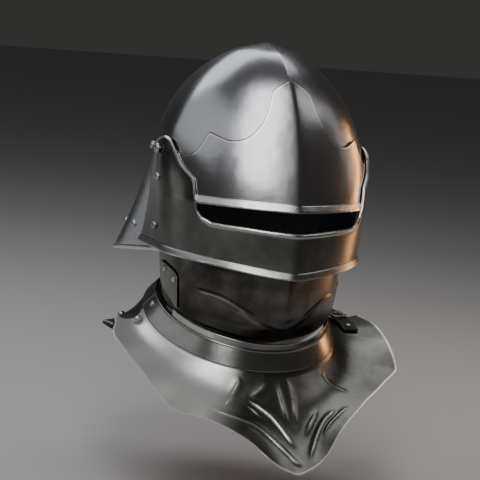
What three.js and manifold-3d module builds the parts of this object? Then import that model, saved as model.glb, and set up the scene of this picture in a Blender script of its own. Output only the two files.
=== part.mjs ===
import * as THREE from 'three';
import { mergeVertices } from 'three/addons/utils/BufferGeometryUtils.js';
import Module from 'manifold-3d';

// Sallet helmet with its pivoted visor, bevor and gorget, as worn.
// Millimetres, +Z up, the face looks along -Y and the wearer's left is +X.
// The origin is where the wearer's crown bears inside the skull.
// Heights in the sizes below are counted from the visor's pivots.

// Skull
const skullHeight = 105;
const sightDrop = 42;
const skullHalfWidth = 103;
const frontReach = 74;
const frontKeel = 16;
const backReach = 129;
const apexSetback = 22;
const crownPower = 2.2;
const crownRound = 2.1;
const sidePower = 2.5;
const sideRound = 1.6;
const backRound = 1.36;
const jawTaper = 9;
const flareCurve = 1.4;
const skullWall = 1.8;
const tailDrop = 96;
const tailSlope = 28;
const tailDepth = 118;
const tailFlare = 78;
const sideFlare = 18;
const napeRise = 10;

// Brow plate
const browWall = 1.6;
const browTop = 74;

// Visor
const visorWall = 2;
const visorStandoff = 5.6;
const sightGap = 20.5;
const visorBand = 41.5;
const visorSweep = 8;

// Bevor
const bevorWall = 1.8;
const bevorTuck = 22;
const cheekInset = 18;
const bevorDepth = 62;
const bevorKeel = 27;
const bevorBack = 138;
const hingeWall = 1.6;

// Gorget
const collarRadius = 86;
const collarSetback = 20;
const collarDrop = 151;
const collarTilt = 20;
const collarHeight = 15;
const collarFlare = 9;
const collarWall = 1.6;
const throatRise = 7;
const gorgetWall = 1.6;
const gorgetFlare = 77;
const gorgetSag = 7;
const flareDrop = 3.2;
const throatHollow = 6;

// Rivets, strap and fit
const rivetRadius = 3.6;
const rivetDome = 2.4;
const pivotRadius = 5;
const pivotDome = 3;
const pivotShank = 3;
const pivotLift = 1.3;
const shankRadius = 1.4;
const strapWall = 2.2;
const strapWidth = 14;
const buckleBar = 2;
const seat = 0.4;
const plateFit = 1;
const peenGap = 1.3;

const wasm = await Module();
wasm.setup();

const rad = Math.PI / 180;
const vec = (x, y, z) => new THREE.Vector3(x, y, z);
const mix = (a, b, t) => a + (b - a) * t;
const clamp = (x) => Math.min(1, Math.max(0, x));
const ease = (a, b, x) => {
  const t = clamp((x - a) / (b - a));
  return t * t * (3 - 2 * t);
};

// A row of the table is found by its first column and eased between rows
function lookup(table, x) {
  let i = 0;
  while (i < table.length - 2 && x > table[i + 1][0]) i += 1;
  const t = clamp((x - table[i][0]) / (table[i + 1][0] - table[i][0]));
  return mix(table[i][1], table[i + 1][1], t);
}

// The helmet's outer surface at an azimuth (0 at the face) and a height
function skullPoint(azimuth, z) {
  const s = clamp((z + sightDrop) / (skullHeight + sightDrop));
  const shrinkFront = (1 - s ** crownPower) ** (1 / crownRound);
  const shrinkSide = (1 - s ** sidePower) ** (1 / sideRound);
  const sin = Math.sin(azimuth);
  const cos = Math.cos(azimuth);
  const facing = cos > 0;
  const reach = facing ? frontReach : backReach;
  const keel = facing ? frontKeel : frontKeel * 0.4;
  const ridge = keel * (1 - Math.abs(sin)) ** 2;
  const shrinkBack = (1 - s ** sidePower) ** (1 / backRound);
  const shrink = facing ? shrinkFront : shrinkBack;
  const taper = 1 - (jawTaper / skullHalfWidth) * clamp(-z / tailDrop) * ease(-0.5, 0.3, cos + 0.2);
  const depth = clamp((napeRise - z) / (tailDepth + napeRise)) ** flareCurve;
  const rear = ease(0, 0.9, -cos);
  const flare = 1 + depth * (sideFlare / skullHalfWidth) * ease(0, 0.6, -cos);
  const x = skullHalfWidth * shrinkSide * sin * flare * taper;
  const back = depth * tailFlare * rear;
  const y = apexSetback * s - Math.sign(cos) * (reach * Math.abs(cos) + ridge) * shrink + back;
  return vec(x, y, z);
}

// The same surface moved outward by a distance along its normal
function offsetPoint(surface, u, v, distance) {
  const p = surface(u, v);
  if (distance === 0) return p;
  return p.add(normalAt(surface, u, v).multiplyScalar(distance));
}

function normalAt(surface, u, v) {
  const step = 0.004;
  const du = surface(u + step, v).sub(surface(u - step, v));
  const dv = surface(u, v + step * 60).sub(surface(u, v - step * 60));
  return du.cross(dv).normalize();
}

// A closed wall from a grid of outer points and a grid of inner points.
// A ring joins its last column to its first one.
function wall(outer, inner, ring) {
  const columns = outer.length;
  const rows = outer[0].length;
  const points = [];
  const faces = [];
  const index = (side, i, j) => (side * columns + (i % columns)) * rows + j;
  for (const side of [outer, inner]) {
    for (const column of side) points.push(...column);
  }
  const quad = (a, b, c, d) => {
    faces.push(a, b, c);
    faces.push(a, c, d);
  };
  const spans = ring ? columns : columns - 1;
  for (let i = 0; i < spans; i += 1) {
    for (let j = 0; j < rows - 1; j += 1) {
      quad(index(0, i, j), index(0, i + 1, j), index(0, i + 1, j + 1), index(0, i, j + 1));
      quad(index(1, i, j), index(1, i, j + 1), index(1, i + 1, j + 1), index(1, i + 1, j));
    }
    quad(index(0, i, 0), index(1, i, 0), index(1, i + 1, 0), index(0, i + 1, 0));
    const top = rows - 1;
    quad(index(0, i, top), index(0, i + 1, top), index(1, i + 1, top), index(1, i, top));
  }
  if (!ring) {
    const end = columns - 1;
    for (let j = 0; j < rows - 1; j += 1) {
      quad(index(0, 0, j), index(0, 0, j + 1), index(1, 0, j + 1), index(1, 0, j));
      quad(index(0, end, j), index(1, end, j), index(1, end, j + 1), index(0, end, j + 1));
    }
  }
  return closedGeometry(points, faces);
}

// Triangles with shared vertices, without slivers, facing out
function closedGeometry(points, faces) {
  const geometry = new THREE.BufferGeometry();
  const flat = new Float32Array(points.length * 3);
  points.forEach((p, i) => p.toArray(flat, i * 3));
  geometry.setAttribute('position', new THREE.BufferAttribute(flat, 3));
  geometry.setIndex(faces);
  const merged = mergeVertices(geometry, 1e-4);
  const old = merged.index.array;
  const kept = [];
  for (let i = 0; i < old.length; i += 3) {
    const [a, b, c] = [old[i], old[i + 1], old[i + 2]];
    if (a !== b && b !== c && a !== c) kept.push(a, b, c);
  }
  if (volume(merged, kept) < 0) {
    for (let i = 0; i < kept.length; i += 3) {
      [kept[i + 1], kept[i + 2]] = [kept[i + 2], kept[i + 1]];
    }
  }
  merged.setIndex(kept);
  return merged;
}

function volume(geometry, faces) {
  const position = geometry.attributes.position;
  let sum = 0;
  const corner = [vec(0, 0, 0), vec(0, 0, 0), vec(0, 0, 0)];
  for (let i = 0; i < faces.length; i += 3) {
    corner.forEach((p, k) => p.fromBufferAttribute(position, faces[i + k]));
    sum += corner[0].dot(corner[1].clone().cross(corner[2])) / 6;
  }
  return sum;
}

function solid(geometry) {
  const bare = geometry.clone();
  bare.deleteAttribute('normal');
  bare.deleteAttribute('uv');
  const merged = mergeVertices(bare, 1e-4);
  return new wasm.Manifold(new wasm.Mesh({
    numProp: 3,
    vertProperties: new Float32Array(merged.attributes.position.array),
    triVerts: new Uint32Array(merged.index.array),
  }));
}

function geometryOf(body) {
  const mesh = body.getMesh();
  const geometry = new THREE.BufferGeometry();
  geometry.setAttribute('position', new THREE.BufferAttribute(mesh.vertProperties, 3));
  geometry.setIndex(new THREE.BufferAttribute(mesh.triVerts, 1));
  return geometry;
}

function turned(geometry, at, direction) {
  const turn = new THREE.Quaternion().setFromUnitVectors(vec(0, 1, 0), direction);
  return geometry.applyQuaternion(turn).translate(at.x, at.y, at.z);
}

// Holes for the rivets that pass through a plate
function drilled(geometry, fixings) {
  let body = solid(geometry);
  for (const { at, direction, grip, shank } of fixings) {
    const drill = new THREE.CylinderGeometry(shank + seat, shank + seat, grip * 2 + 8, 8);
    body = body.subtract(solid(turned(drill, at, direction)));
  }
  return geometryOf(body);
}

// A rivet: domed head outside, shank through the plates, peened tail inside.
// Its place is the middle of the plates' outer face.
function rivetGeometry({ head, dome, shank, grip, lift }) {
  const under = seat + lift;
  const tail = -grip - peenGap - lift;
  const profile = [
    [0, tail - 0.8], [shank * 1.7, tail], [shank, tail], [shank, under],
    [head, under], [head * 0.8, under + dome * 0.65], [0, under + dome],
  ];
  return new THREE.LatheGeometry(profile.map(([r, h]) => new THREE.Vector2(r, h)), 8);
}

const steel = (color, roughness) => new THREE.MeshStandardMaterial({
  color, roughness, metalness: 1,
});
const materials = {
  skull: steel(0x8a8c94, 0.32),
  visor: steel(0x75756e, 0.36),
  bevor: steel(0x5c5852, 0.38),
  gorget: steel(0x7c7b76, 0.34),
  bright: steel(0xb9b8b4, 0.25),
  leather: new THREE.MeshStandardMaterial({ color: 0x1d1a18, roughness: 0.8, metalness: 0 }),
};

const group = new THREE.Group();
const crown = vec(0, apexSetback, skullHeight - skullWall);
group.position.copy(crown.clone().negate());

function add(name, geometry, material) {
  const mesh = new THREE.Mesh(geometry, material);
  mesh.name = name;
  group.add(mesh);
}

// Where the rivets sit: azimuth in degrees from the face and height
const pivot = fixing(skullPoint, 90, 0, {
  out: visorStandoff,
  head: pivotRadius,
  dome: pivotDome,
  shank: pivotShank,
  grip: visorStandoff + skullWall + seat,
  lift: pivotLift,
});
pivot.at = skullPoint(90 * rad, 0).add(vec(visorStandoff + 0.2, 0, 0));
pivot.direction = vec(1, 0, 0);

function fixing(surface, degrees, height, size) {
  const { out = 0, head = rivetRadius, dome = rivetDome, shank = shankRadius } = size;
  const azimuth = degrees * rad;
  const direction = normalAt(surface, azimuth, height);
  const at = surface(azimuth, height).addScaledVector(direction, out);
  return { at, direction, head, dome, shank, grip: size.grip, lift: size.lift ?? 0 };
}

function mirrored(item) {
  const flip = (p) => vec(-p.x, p.y, p.z);
  return { ...item, at: flip(item.at), direction: flip(item.direction) };
}

function addPair(name, item) {
  for (const [side, one] of [['left', item], ['right', mirrored(item)]]) {
    add(`${name}_${side}`, turned(rivetGeometry(one), one.at, one.direction), materials.bright);
  }
}

const both = (items) => items.flatMap((item) => [item, mirrored(item)]);

// Skull: one raised shell with its tail, drilled for the pivots and rivets.
// Its lower edge stays at the sight over the face and drops to the tail.
function rimHeight(azimuth) {
  const away = Math.abs(Math.atan2(Math.sin(azimuth), Math.cos(azimuth))) / rad;
  return -mix(sightDrop, tailDrop, ease(68, 84, away)) - tailSlope * ease(84, 150, away);
}

// Rows of the shell as shares of the way from its rim to its crown
const crownRows = [0, 0.06, 0.12, 0.19, 0.28, 0.4, 0.55, 0.7, 0.83, 0.93, 1];

function skullRow(azimuth, j, distance) {
  const z = mix(rimHeight(azimuth), skullHeight, crownRows[j]);
  if (crownRows[j] === 1) {
    return vec(0, apexSetback, skullHeight + distance);
  }
  return offsetPoint(skullPoint, azimuth, z, distance);
}

function skullColumns(distance) {
  const count = 40;
  return Array.from({ length: count }, (_, i) => {
    const azimuth = (i / count) * Math.PI * 2;
    return crownRows.map((_row, j) => skullRow(azimuth, j, distance));
  });
}

// Rivets of the lining and strap on the skull behind the visor
const tailRivets = [
  fixing(skullPoint, 113.5, -82, { grip: skullWall, lift: 0.2 }),
  fixing(skullPoint, 132, -88, { grip: skullWall, lift: 0.5 }),
  fixing(skullPoint, 114, -3, { grip: skullWall }),
];

add('skull', drilled(wall(skullColumns(0), skullColumns(-skullWall), true), both([pivot, ...tailRivets])), materials.skull);

// Brow plate: a scalloped reinforce over the front of the skull.
// Columns: azimuth in degrees, height of the upper edge as a share of its top
const browEdge = [
  [0, 1], [5.5, 0.96], [12, 0.88], [14.5, 0.83], [15.2, 0.72], [17, 0.58], [19.5, 0.45],
  [23.5, 0.33], [28, 0.25], [33, 0.215], [38, 0.215], [44, 0.25], [50, 0.29], [53, 0.14],
  [56, 0.04], [60, -0.01], [66, -0.03], [72, 0], [76, 0.02],
];

const browColumns = browEdge.flatMap(([degrees], i) => {
  const next = browEdge[i + 1];
  if (!next) return [degrees];
  const parts = Math.max(1, Math.round((next[0] - degrees) / 8));
  return Array.from({ length: parts }, (_, k) => mix(degrees, next[0], k / parts));
}).filter((degrees) => degrees <= 76);

const browAzimuths = [...browColumns.slice(1).map((d) => -d).reverse(), ...browColumns];

const browRows = 6;

function browGrid(distance) {
  return browAzimuths.map((degrees) => {
    const top = browTop * lookup(browEdge, Math.abs(degrees));
    return Array.from({ length: browRows + 1 }, (_, j) => {
      const z = mix(-sightDrop, top, j / browRows);
      return offsetPoint(skullPoint, degrees * rad, z, distance);
    });
  });
}

add('brow_plate', wall(browGrid(plateFit + browWall), browGrid(plateFit), false), materials.skull);

// Visor: the band below the sight and the two arms up to the pivots
const visorPoint = skullPoint;

// Columns: azimuth in degrees, upper edge as a share of the sight's height
// over the pivots' drop, and lower edge as a share of the band's height
const visorEdge = [
  { at: 0, top: 0, low: 1 },
  { at: 12, top: 0.01, low: 0.97 },
  { at: 24, top: 0.03, low: 0.92 },
  { at: 37, top: 0.04, low: 0.86 },
  { at: 45, top: 0.05, low: 0.83 },
  { at: 50.5, top: 0.11, low: 0.81 },
  { at: 53.5, top: 0.2, low: 0.8 },
  { at: 55.2, top: 0.34, low: 0.8 },
  { at: 55.8, top: 0.59, low: 0.79 },
  { at: 56.6, top: 0.65, low: 0.79 },
  { at: 61, top: 0.73, low: 0.78 },
  { at: 66.5, top: 0.84, low: 0.77 },
  { at: 72, top: 1.02, low: 0.76 },
  { at: 79, top: 1.15, low: 0.74 },
  { at: 86, top: 1.18, low: 0.73 },
  { at: 92, top: 1.14, low: 0.72 },
  { at: 95.5, top: 1.04, low: 0.71 },
];

const sightLow = sightDrop + sightGap;
const visorHeight = (top) => mix(-sightLow, 0, top);

function visorAt(degrees) {
  const away = Math.abs(degrees);
  const tops = visorEdge.map(({ at, top }) => [at, top]);
  const lows = visorEdge.map(({ at, low }) => [at, low]);
  return { top: visorHeight(lookup(tops, away)), low: -sightLow - visorBand * lookup(lows, away) };
}

const visorHalf = [0, 8, 16, 24, 31, 37, 45, 50.5, 53.5, 55.2, 55.8, 56.6, 61, 66.5, 72, 79, 86, 92, 95.5];
const visorAzimuths = [...visorHalf.slice(1).map((d) => -d).reverse(), ...visorHalf];

const visorRows = 6;

function visorGrid(distance) {
  return visorAzimuths.map((degrees) => {
    const { top, low } = visorAt(degrees);
    const sweep = Math.sign(degrees) * visorSweep * ease(60, 95, Math.abs(degrees));
    return Array.from({ length: visorRows + 1 }, (_, j) => {
      const azimuth = (degrees + sweep * (1 - j / visorRows)) * rad;
      return offsetPoint(visorPoint, azimuth, mix(low, top, j / visorRows), distance);
    });
  });
}

const visorRivets = [
  fixing(visorPoint, 90, -26, { out: visorStandoff, grip: visorWall }),
  fixing(visorPoint, 93.5, -73, { out: visorStandoff, grip: visorWall }),
];

const visorShell = wall(visorGrid(visorStandoff), visorGrid(visorStandoff - visorWall), false);
add('visor', drilled(visorShell, both([pivot, ...visorRivets])), materials.visor);
addPair('visor_pivot', pivot);
addPair('visor_rivet_upper', visorRivets[0]);
addPair('visor_rivet_lower', visorRivets[1]);
addPair('tail_rivet_front', tailRivets[0]);
addPair('tail_rivet_back', tailRivets[1]);
addPair('temple_rivet', tailRivets[2]);

// Bevor: the chin defence tucked inside the visor, keeled down the middle.
// Rows run from its top edge down. Each gives the share of the way from the
// cheeks' width in to the throat's, and shares of the depth and the keel.
const collarCos = Math.cos(collarTilt * rad);
const collarSin = Math.sin(collarTilt * rad);

// A point of the collar's tilted ring at an azimuth, radius and height
function ringPoint(azimuth, radius, height) {
  const y = -radius * Math.cos(azimuth);
  return vec(
    radius * Math.sin(azimuth),
    collarSetback + y * collarCos - height * collarSin,
    -collarDrop + y * collarSin + height * collarCos,
  );
}

const bevorRows = [
  { down: 0, narrow: 0, front: 1, ridge: 1 },
  { down: 0.3, narrow: 0, front: 1, ridge: 1 },
  { down: 0.52, narrow: 0.2, front: 0.99, ridge: 1 },
  { down: 0.72, narrow: 0.5, front: 0.95, ridge: 0.95 },
  { down: 0.88, narrow: 0.8, front: 0.9, ridge: 0.8 },
  { down: 1, narrow: 1, front: 0.84, ridge: 0.6 },
];

const bevorTop = -sightDrop - sightGap - visorBand + bevorTuck;
const jawHalfWidth = skullHalfWidth + (jawTaper * bevorTop) / tailDrop;
const bevorHalfWidth = skullHalfWidth - cheekInset;
const cheekReach = jawHalfWidth - skullWall - plateFit * 0.7 - bevorHalfWidth;
const throatRadius = collarRadius - collarWall * 2 - seat * 2;
const throatHalfWidth = throatRadius - 1.2;

function bevorFoot(azimuth) {
  const front = ease(0.05, 0.8, Math.cos(azimuth)) + 0.1 * ease(0, 0.2, Math.cos(azimuth));
  const plate = hingeWall + seat - collarWall;
  return ringPoint(azimuth, throatRadius - plate - throatHollow * front, 1);
}

function bevorPoint(azimuth, t) {
  const cos = Math.cos(azimuth);
  const sin = Math.sin(azimuth);
  const share = (name) => lookup(bevorRows.map((row) => [row.down, row[name]]), t);
  const spread = ease(0.5, 0.97, Math.abs(sin)) * (1 - ease(0.1, 0.35, -cos));
  const cheek = cheekReach * (1 - clamp(t / 0.16)) * spread;
  const width = mix(bevorHalfWidth, throatHalfWidth, share('narrow')) + cheek;
  const ridge = bevorKeel * share('ridge') * (1 - Math.abs(sin)) ** 2;
  const reach = cos > 0 ? bevorDepth * share('front') : bevorBack;
  const z = mix(bevorTop, bevorFoot(azimuth).z + 8, t);
  return vec(width * sin, -reach * cos - ridge, z);
}

const bevorAzimuths = [-114, -104, -95, -86, -77, -66, -55, -44, -33, -22, -11];
const bevorColumns = [...bevorAzimuths, 0, ...bevorAzimuths.map((d) => -d).reverse()];

// The bevor's face by azimuth and percent of its height above the throat
function bevorShare(azimuth, percent) {
  return bevorPoint(azimuth, 1 - percent / 100);
}

function bevorGrid(distance) {
  return bevorColumns.map((degrees) => {
    const azimuth = degrees * rad;
    const foot = bevorFoot(azimuth);
    foot.x += distance * Math.sin(azimuth);
    foot.y -= distance * Math.cos(azimuth);
    const rows = Array.from({ length: 7 }, (_, j) => {
      return offsetPoint(bevorShare, azimuth, (j / 6) * 100, distance);
    });
    return [foot, ...rows];
  });
}

// Hinge plates: a plate on each side of the bevor, held by two rivets
const hingeFrom = 78;
const hingeTo = 103;

function hingeGrid(distance) {
  const columns = 6;
  return Array.from({ length: columns + 1 }, (_, i) => {
    const share = i / columns;
    const azimuth = mix(hingeFrom, hingeTo, share) * rad;
    const corner = 7 * Math.max(0, 1 - share * 4) ** 2 + 2 * Math.max(0, share * 4 - 3) ** 2;
    return Array.from({ length: 5 }, (_v, j) => {
      const percent = mix(0, 49 - corner, j / 4);
      return offsetPoint(bevorShare, azimuth, percent, distance);
    });
  });
}

const mirrorColumns = (columns) => columns.map((column) => column.map((p) => vec(-p.x, p.y, p.z)));

const bevorGrip = bevorWall + hingeWall + seat;
const onPlate = { out: seat + hingeWall, grip: bevorGrip, head: 3.1, dome: 2 };
const hingeRivets = [
  fixing(bevorShare, 82.5, 38, onPlate),
  fixing(bevorShare, 96.5, 41, onPlate),
];

const bevorRivet = fixing(bevorShare, 108, 73, { grip: bevorWall, head: 2.4, dome: 1.6, shank: 1 });
const bevorShell = wall(bevorGrid(0), bevorGrid(-bevorWall), false);
add('bevor', drilled(bevorShell, both([...hingeRivets, bevorRivet])), materials.bevor);
addPair('bevor_rivet', bevorRivet);
const hingeOuter = hingeGrid(seat + hingeWall);
const hingeInner = hingeGrid(seat);
const hingePlate = drilled(wall(hingeOuter, hingeInner, false), hingeRivets);
add('hinge_plate_left', hingePlate, materials.bevor);
const hingeMirror = wall(mirrorColumns(hingeOuter), mirrorColumns(hingeInner), false);
add('hinge_plate_right', drilled(hingeMirror, hingeRivets.map(mirrored)), materials.bevor);
addPair('hinge_rivet_front', hingeRivets[0]);
addPair('hinge_rivet_back', hingeRivets[1]);

// Collar: two halves of a flared band that meet at the sides
function collarPoint(azimuth, v) {
  return ringPoint(azimuth, collarRadius + collarFlare * (1 - v), -collarHeight * (1 - v));
}

function bandGrid(surface, from, to, count, rows, distance) {
  return Array.from({ length: count + 1 }, (_, i) => {
    const azimuth = mix(from, to, i / count) * rad;
    return rows.map((v) => offsetPoint(surface, azimuth, v, distance));
  });
}

const seam = 103;
const seamGap = 0.4;

function band(surface, from, to, count, rows, outside, thickness) {
  const outer = bandGrid(surface, from, to, count, rows, outside);
  const inner = bandGrid(surface, from, to, count, rows, outside - thickness);
  return wall(outer, inner, false);
}

// Throat lame: the upper lame that shows inside the front collar
function throatPoint(azimuth, v) {
  const radius = collarRadius - collarWall - seat;
  return ringPoint(azimuth, radius, mix(-collarHeight * 0.4, throatRise, v));
}

const throatEnd = 74;
add('throat_lame', band(throatPoint, -throatEnd, throatEnd, 24, [0, 1], 0, collarWall), materials.gorget);

// Gorget plates: flared from under the collar out to a pointed edge.
// The two shoulders are not alike, so the rows go from the wearer's right to
// the left: azimuth in degrees, distance out from the collar as a share of the
// flare, and the plate's slope below the level in degrees
const frontOutline = [
  { at: -102.5, out: 0.36, slope: 18 },
  { at: -94, out: 0.38, slope: 11 },
  { at: -86, out: 0.515, slope: 9 },
  { at: -72, out: 0.54, slope: 14 },
  { at: -61.5, out: 0.58, slope: 21 },
  { at: -52, out: 0.645, slope: 29 },
  { at: -44.5, out: 0.715, slope: 34 },
  { at: -40, out: 0.66, slope: 37 },
  { at: -35, out: 0.605, slope: 39 },
  { at: -27.5, out: 0.59, slope: 41.5 },
  { at: -19, out: 0.635, slope: 43.5 },
  { at: -13, out: 0.72, slope: 44 },
  { at: -8, out: 0.865, slope: 45 },
  { at: 0, out: 0.97, slope: 45 },
  { at: 9.5, out: 0.87, slope: 44.5 },
  { at: 20.5, out: 0.655, slope: 43 },
  { at: 30, out: 0.565, slope: 41 },
  { at: 45, out: 0.54, slope: 35 },
  { at: 59, out: 0.655, slope: 24 },
  { at: 66, out: 0.79, slope: 16 },
  { at: 72.5, out: 0.745, slope: 8.5 },
  { at: 79.5, out: 0.7, slope: 2.5 },
  { at: 92, out: 0.67, slope: -1.5 },
  { at: 102.5, out: 0.62, slope: 2 },
];
const backOutline = [
  { at: 103.5, out: 0.62, slope: 3 },
  { at: 115, out: 0.6, slope: 18 },
  { at: 132, out: 0.62, slope: 41 },
  { at: 150, out: 0.68, slope: 52 },
  { at: 180, out: 0.74, slope: 57 },
  { at: 210, out: 0.68, slope: 52 },
  { at: 228, out: 0.62, slope: 41 },
  { at: 245, out: 0.5, slope: 30 },
  { at: 256.5, out: 0.385, slope: 24 },
];

const outRows = (table) => table.map((row) => [row.at, row.out]);
const slopeRows = (table) => table.map((row) => [row.at, row.slope]);

function flarePoint(outline, azimuth, v) {
  const degrees = azimuth / rad;
  const start = ringPoint(azimuth, collarRadius + collarFlare, -collarHeight - flareDrop);
  const reach = gorgetFlare * lookup(outRows(outline), degrees);
  const out = collarRadius + collarFlare + reach;
  const end = vec(out * Math.sin(azimuth), collarSetback - out * Math.cos(azimuth), start.z);
  end.z -= reach * Math.tan(lookup(slopeRows(outline), degrees) * rad);
  const p = start.clone().lerp(end, v);
  const sag = gorgetSag * Math.sin(Math.PI * clamp(v));
  return p.add(vec(-Math.sin(azimuth) * sag * 0.7, Math.cos(azimuth) * sag * 0.7, -sag * 0.7));
}

// The face of a flare by azimuth and percent of the way in from its edge
const flareFace = (outline) => (azimuth, percent) => flarePoint(outline, azimuth, 1 - percent / 100);

// A column of a flare's face from its edge up to where the collar covers it
function flareColumn(outline, azimuth, from, to, tucked, under) {
  const rows = 5;
  const flare = Array.from({ length: rows }, (_, j) => {
    return offsetPoint(flareFace(outline), azimuth, mix(from, to, j / (rows - 1)), under);
  });
  if (!tucked) return flare;
  const inset = under - (collarWall + seat + 0.4);
  return [...flare, ...[0.1, 0.35].map((v) => offsetPoint(collarPoint, azimuth, v, inset))];
}

function flarePlate(outline, columns, { from = 0, to = 96, tucked = true, under = 0 }) {
  const side = (deep) => columns.map((degrees) => {
    return flareColumn(outline, degrees * rad, from, to, tucked, under - deep);
  });
  return wall(side(0), side(gorgetWall), false);
}

// Azimuths of the columns, with some between the rows of the outlines
const gorgetColumns = [
  -102.5, -94, -86, -79, -72, -61.5, -52, -44.5, -40, -35, -27.5, -19, -13, -8, -4,
  0, 4.5, 9.5, 15, 20.5, 30, 37.5, 45, 52, 59, 66, 72.5, 79.5, 86, 92, 97, 102.5,
];
const backColumns = [103.5, 109, 115, 123, 132, 141, 150, 165, 180, 195, 210, 219, 228, 237, 245, 256.5];
const lapFrom = 29;
const lap = 10;

const collarFront = band(collarPoint, -seam, seam, 30, [0, 1], 0, collarWall);
const collarBack = band(collarPoint, seam + seamGap, 360 - seam - seamGap, 22, [0, 1], 0, collarWall);
const gorgetFront = flarePlate(frontOutline, gorgetColumns, {});
const gorgetBack = flarePlate(backOutline, backColumns, { from: lapFrom });
const backLame = flarePlate(backOutline, backColumns, {
  to: lapFrom + lap, tucked: false, under: -(gorgetWall + seat),
});

// Rivets of the gorget's hinge at the wearer's right shoulder
const frontFace = flareFace(frontOutline);
const backFace = flareFace(backOutline);
const washerLift = 2.4;
const collarRivet = fixing(collarPoint, -96, 0.64, { grip: collarWall, head: 3.1, dome: 2 });
const shoulderRivet = fixing(frontFace, -96, 68, {
  grip: gorgetWall, lift: washerLift + 1.2, head: 3.4, dome: 2.2,
});
const lameRivets = [127, 233].map((degrees) => {
  return fixing(backFace, degrees, 34, { grip: gorgetWall * 2 + seat, lift: 0.3 });
});

add('collar_front', drilled(collarFront, [collarRivet]), materials.gorget);
add('collar_back', collarBack, materials.gorget);

// Strap and buckle that close the gorget at the wearer's left shoulder
const strapFrom = 88;
const strapTo = 119;
const strapMiddle = 46;
const strapRise = 2.4;

function strapFace(azimuth, percent) {
  const blend = ease(98, 108, azimuth / rad);
  const front = frontFace(azimuth, percent);
  return front.lerp(backFace(azimuth, percent), blend);
}

function strapLift(degrees) {
  const share = clamp((degrees - strapFrom) / (strapTo - strapFrom));
  return strapRise * Math.sin(Math.PI * share);
}

function strapGrid(distance) {
  const columns = 12;
  return Array.from({ length: columns + 1 }, (_, i) => {
    const azimuth = mix(strapFrom, strapTo, i / columns) * rad;
    const length = strapFace(azimuth, 0).distanceTo(strapFace(azimuth, 100));
    const half = (strapWidth / 2 / length) * 100;
    const rise = distance + strapLift(azimuth / rad);
    return [-1, 0, 1].map((side) => offsetPoint(strapFace, azimuth, strapMiddle + side * half, rise));
  });
}

const strapTop = strapWall + seat * 2;
const strapGrip = strapTop + gorgetWall;
const strapFixing = (degrees) => fixing(strapFace, degrees, strapMiddle, {
  out: strapTop + strapLift(degrees),
  grip: strapGrip + strapLift(degrees),
  head: 2.8,
  dome: 1.6,
  lift: 0.6,
});
const strapRivets = [strapFixing(strapFrom + 3), strapFixing(strapTo - 3)];
const strap = drilled(wall(strapGrid(strapTop), strapGrid(seat * 2), false), strapRivets);

add('gorget_front', drilled(gorgetFront, [shoulderRivet, strapRivets[0]]), materials.gorget);
add('gorget_back', drilled(gorgetBack, [...lameRivets, strapRivets[1]]), materials.gorget);
add('back_lame', drilled(backLame, lameRivets), materials.gorget);

function addRivet(name, item) {
  add(name, turned(rivetGeometry(item), item.at, item.direction), materials.bright);
}

addRivet('lame_rivet_left', lameRivets[0]);
addRivet('lame_rivet_right', lameRivets[1]);
addRivet('collar_rivet', collarRivet);
addRivet('shoulder_rivet', shoulderRivet);
const washerTop = washerLift + 1.2;
const washerProfile = [
  [1.9, washerLift], [4.9, washerLift], [4.5, washerTop], [1.9, washerTop], [1.9, washerLift],
];
const washer = new THREE.LatheGeometry(washerProfile.map(([r, h]) => new THREE.Vector2(r, h)), 12);
add('shoulder_washer', turned(washer, shoulderRivet.at, shoulderRivet.direction), materials.bright);
add('strap', strap, materials.leather);
addRivet('strap_rivet_front', strapRivets[0]);
addRivet('strap_rivet_back', strapRivets[1]);

// Buckle: a rectangular frame over the strap and a tongue across it.
// Both are straight, so they stand on the strap's middle line as one.
const buckleAt = 101.5;
const buckleLength = strapWidth * 1.25;
const buckleWidth = strapWidth + buckleBar * 2;
const overStrap = strapTop + plateFit * 2.2;

function onStrap(geometry, rise) {
  const azimuth = buckleAt * rad;
  const normal = normalAt(strapFace, azimuth, strapMiddle);
  const next = strapFace(azimuth + 0.01, strapMiddle).sub(strapFace(azimuth - 0.01, strapMiddle));
  const along = next.sub(normal.clone().multiplyScalar(next.dot(normal))).normalize();
  const across = new THREE.Vector3().crossVectors(normal, along);
  const middle = strapFace(azimuth, strapMiddle).addScaledVector(normal, rise + strapLift(buckleAt));
  const turn = new THREE.Matrix4().makeBasis(along, across, normal).setPosition(middle);
  return geometry.applyMatrix4(turn);
}

const frameBlock = new THREE.BoxGeometry(buckleLength, buckleWidth, buckleBar);
const frameWindow = new THREE.BoxGeometry(buckleLength - buckleBar * 2, buckleWidth - buckleBar * 2, buckleBar * 2);
const frameRise = overStrap + buckleBar / 2;
const frame = solid(onStrap(frameBlock, frameRise)).subtract(solid(onStrap(frameWindow, frameRise)));
const tongueRadius = buckleBar * 0.4;
const tongue = new THREE.CylinderGeometry(tongueRadius, tongueRadius, buckleLength, 8);
tongue.rotateZ(90 * rad);
add('buckle', geometryOf(frame), materials.bright);
add('buckle_tongue', onStrap(tongue, overStrap + buckleBar + tongueRadius + seat), materials.bright);

export default group;
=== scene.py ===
import math

import bmesh
import bpy
import numpy as np
from mathutils import Matrix, Vector


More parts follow.
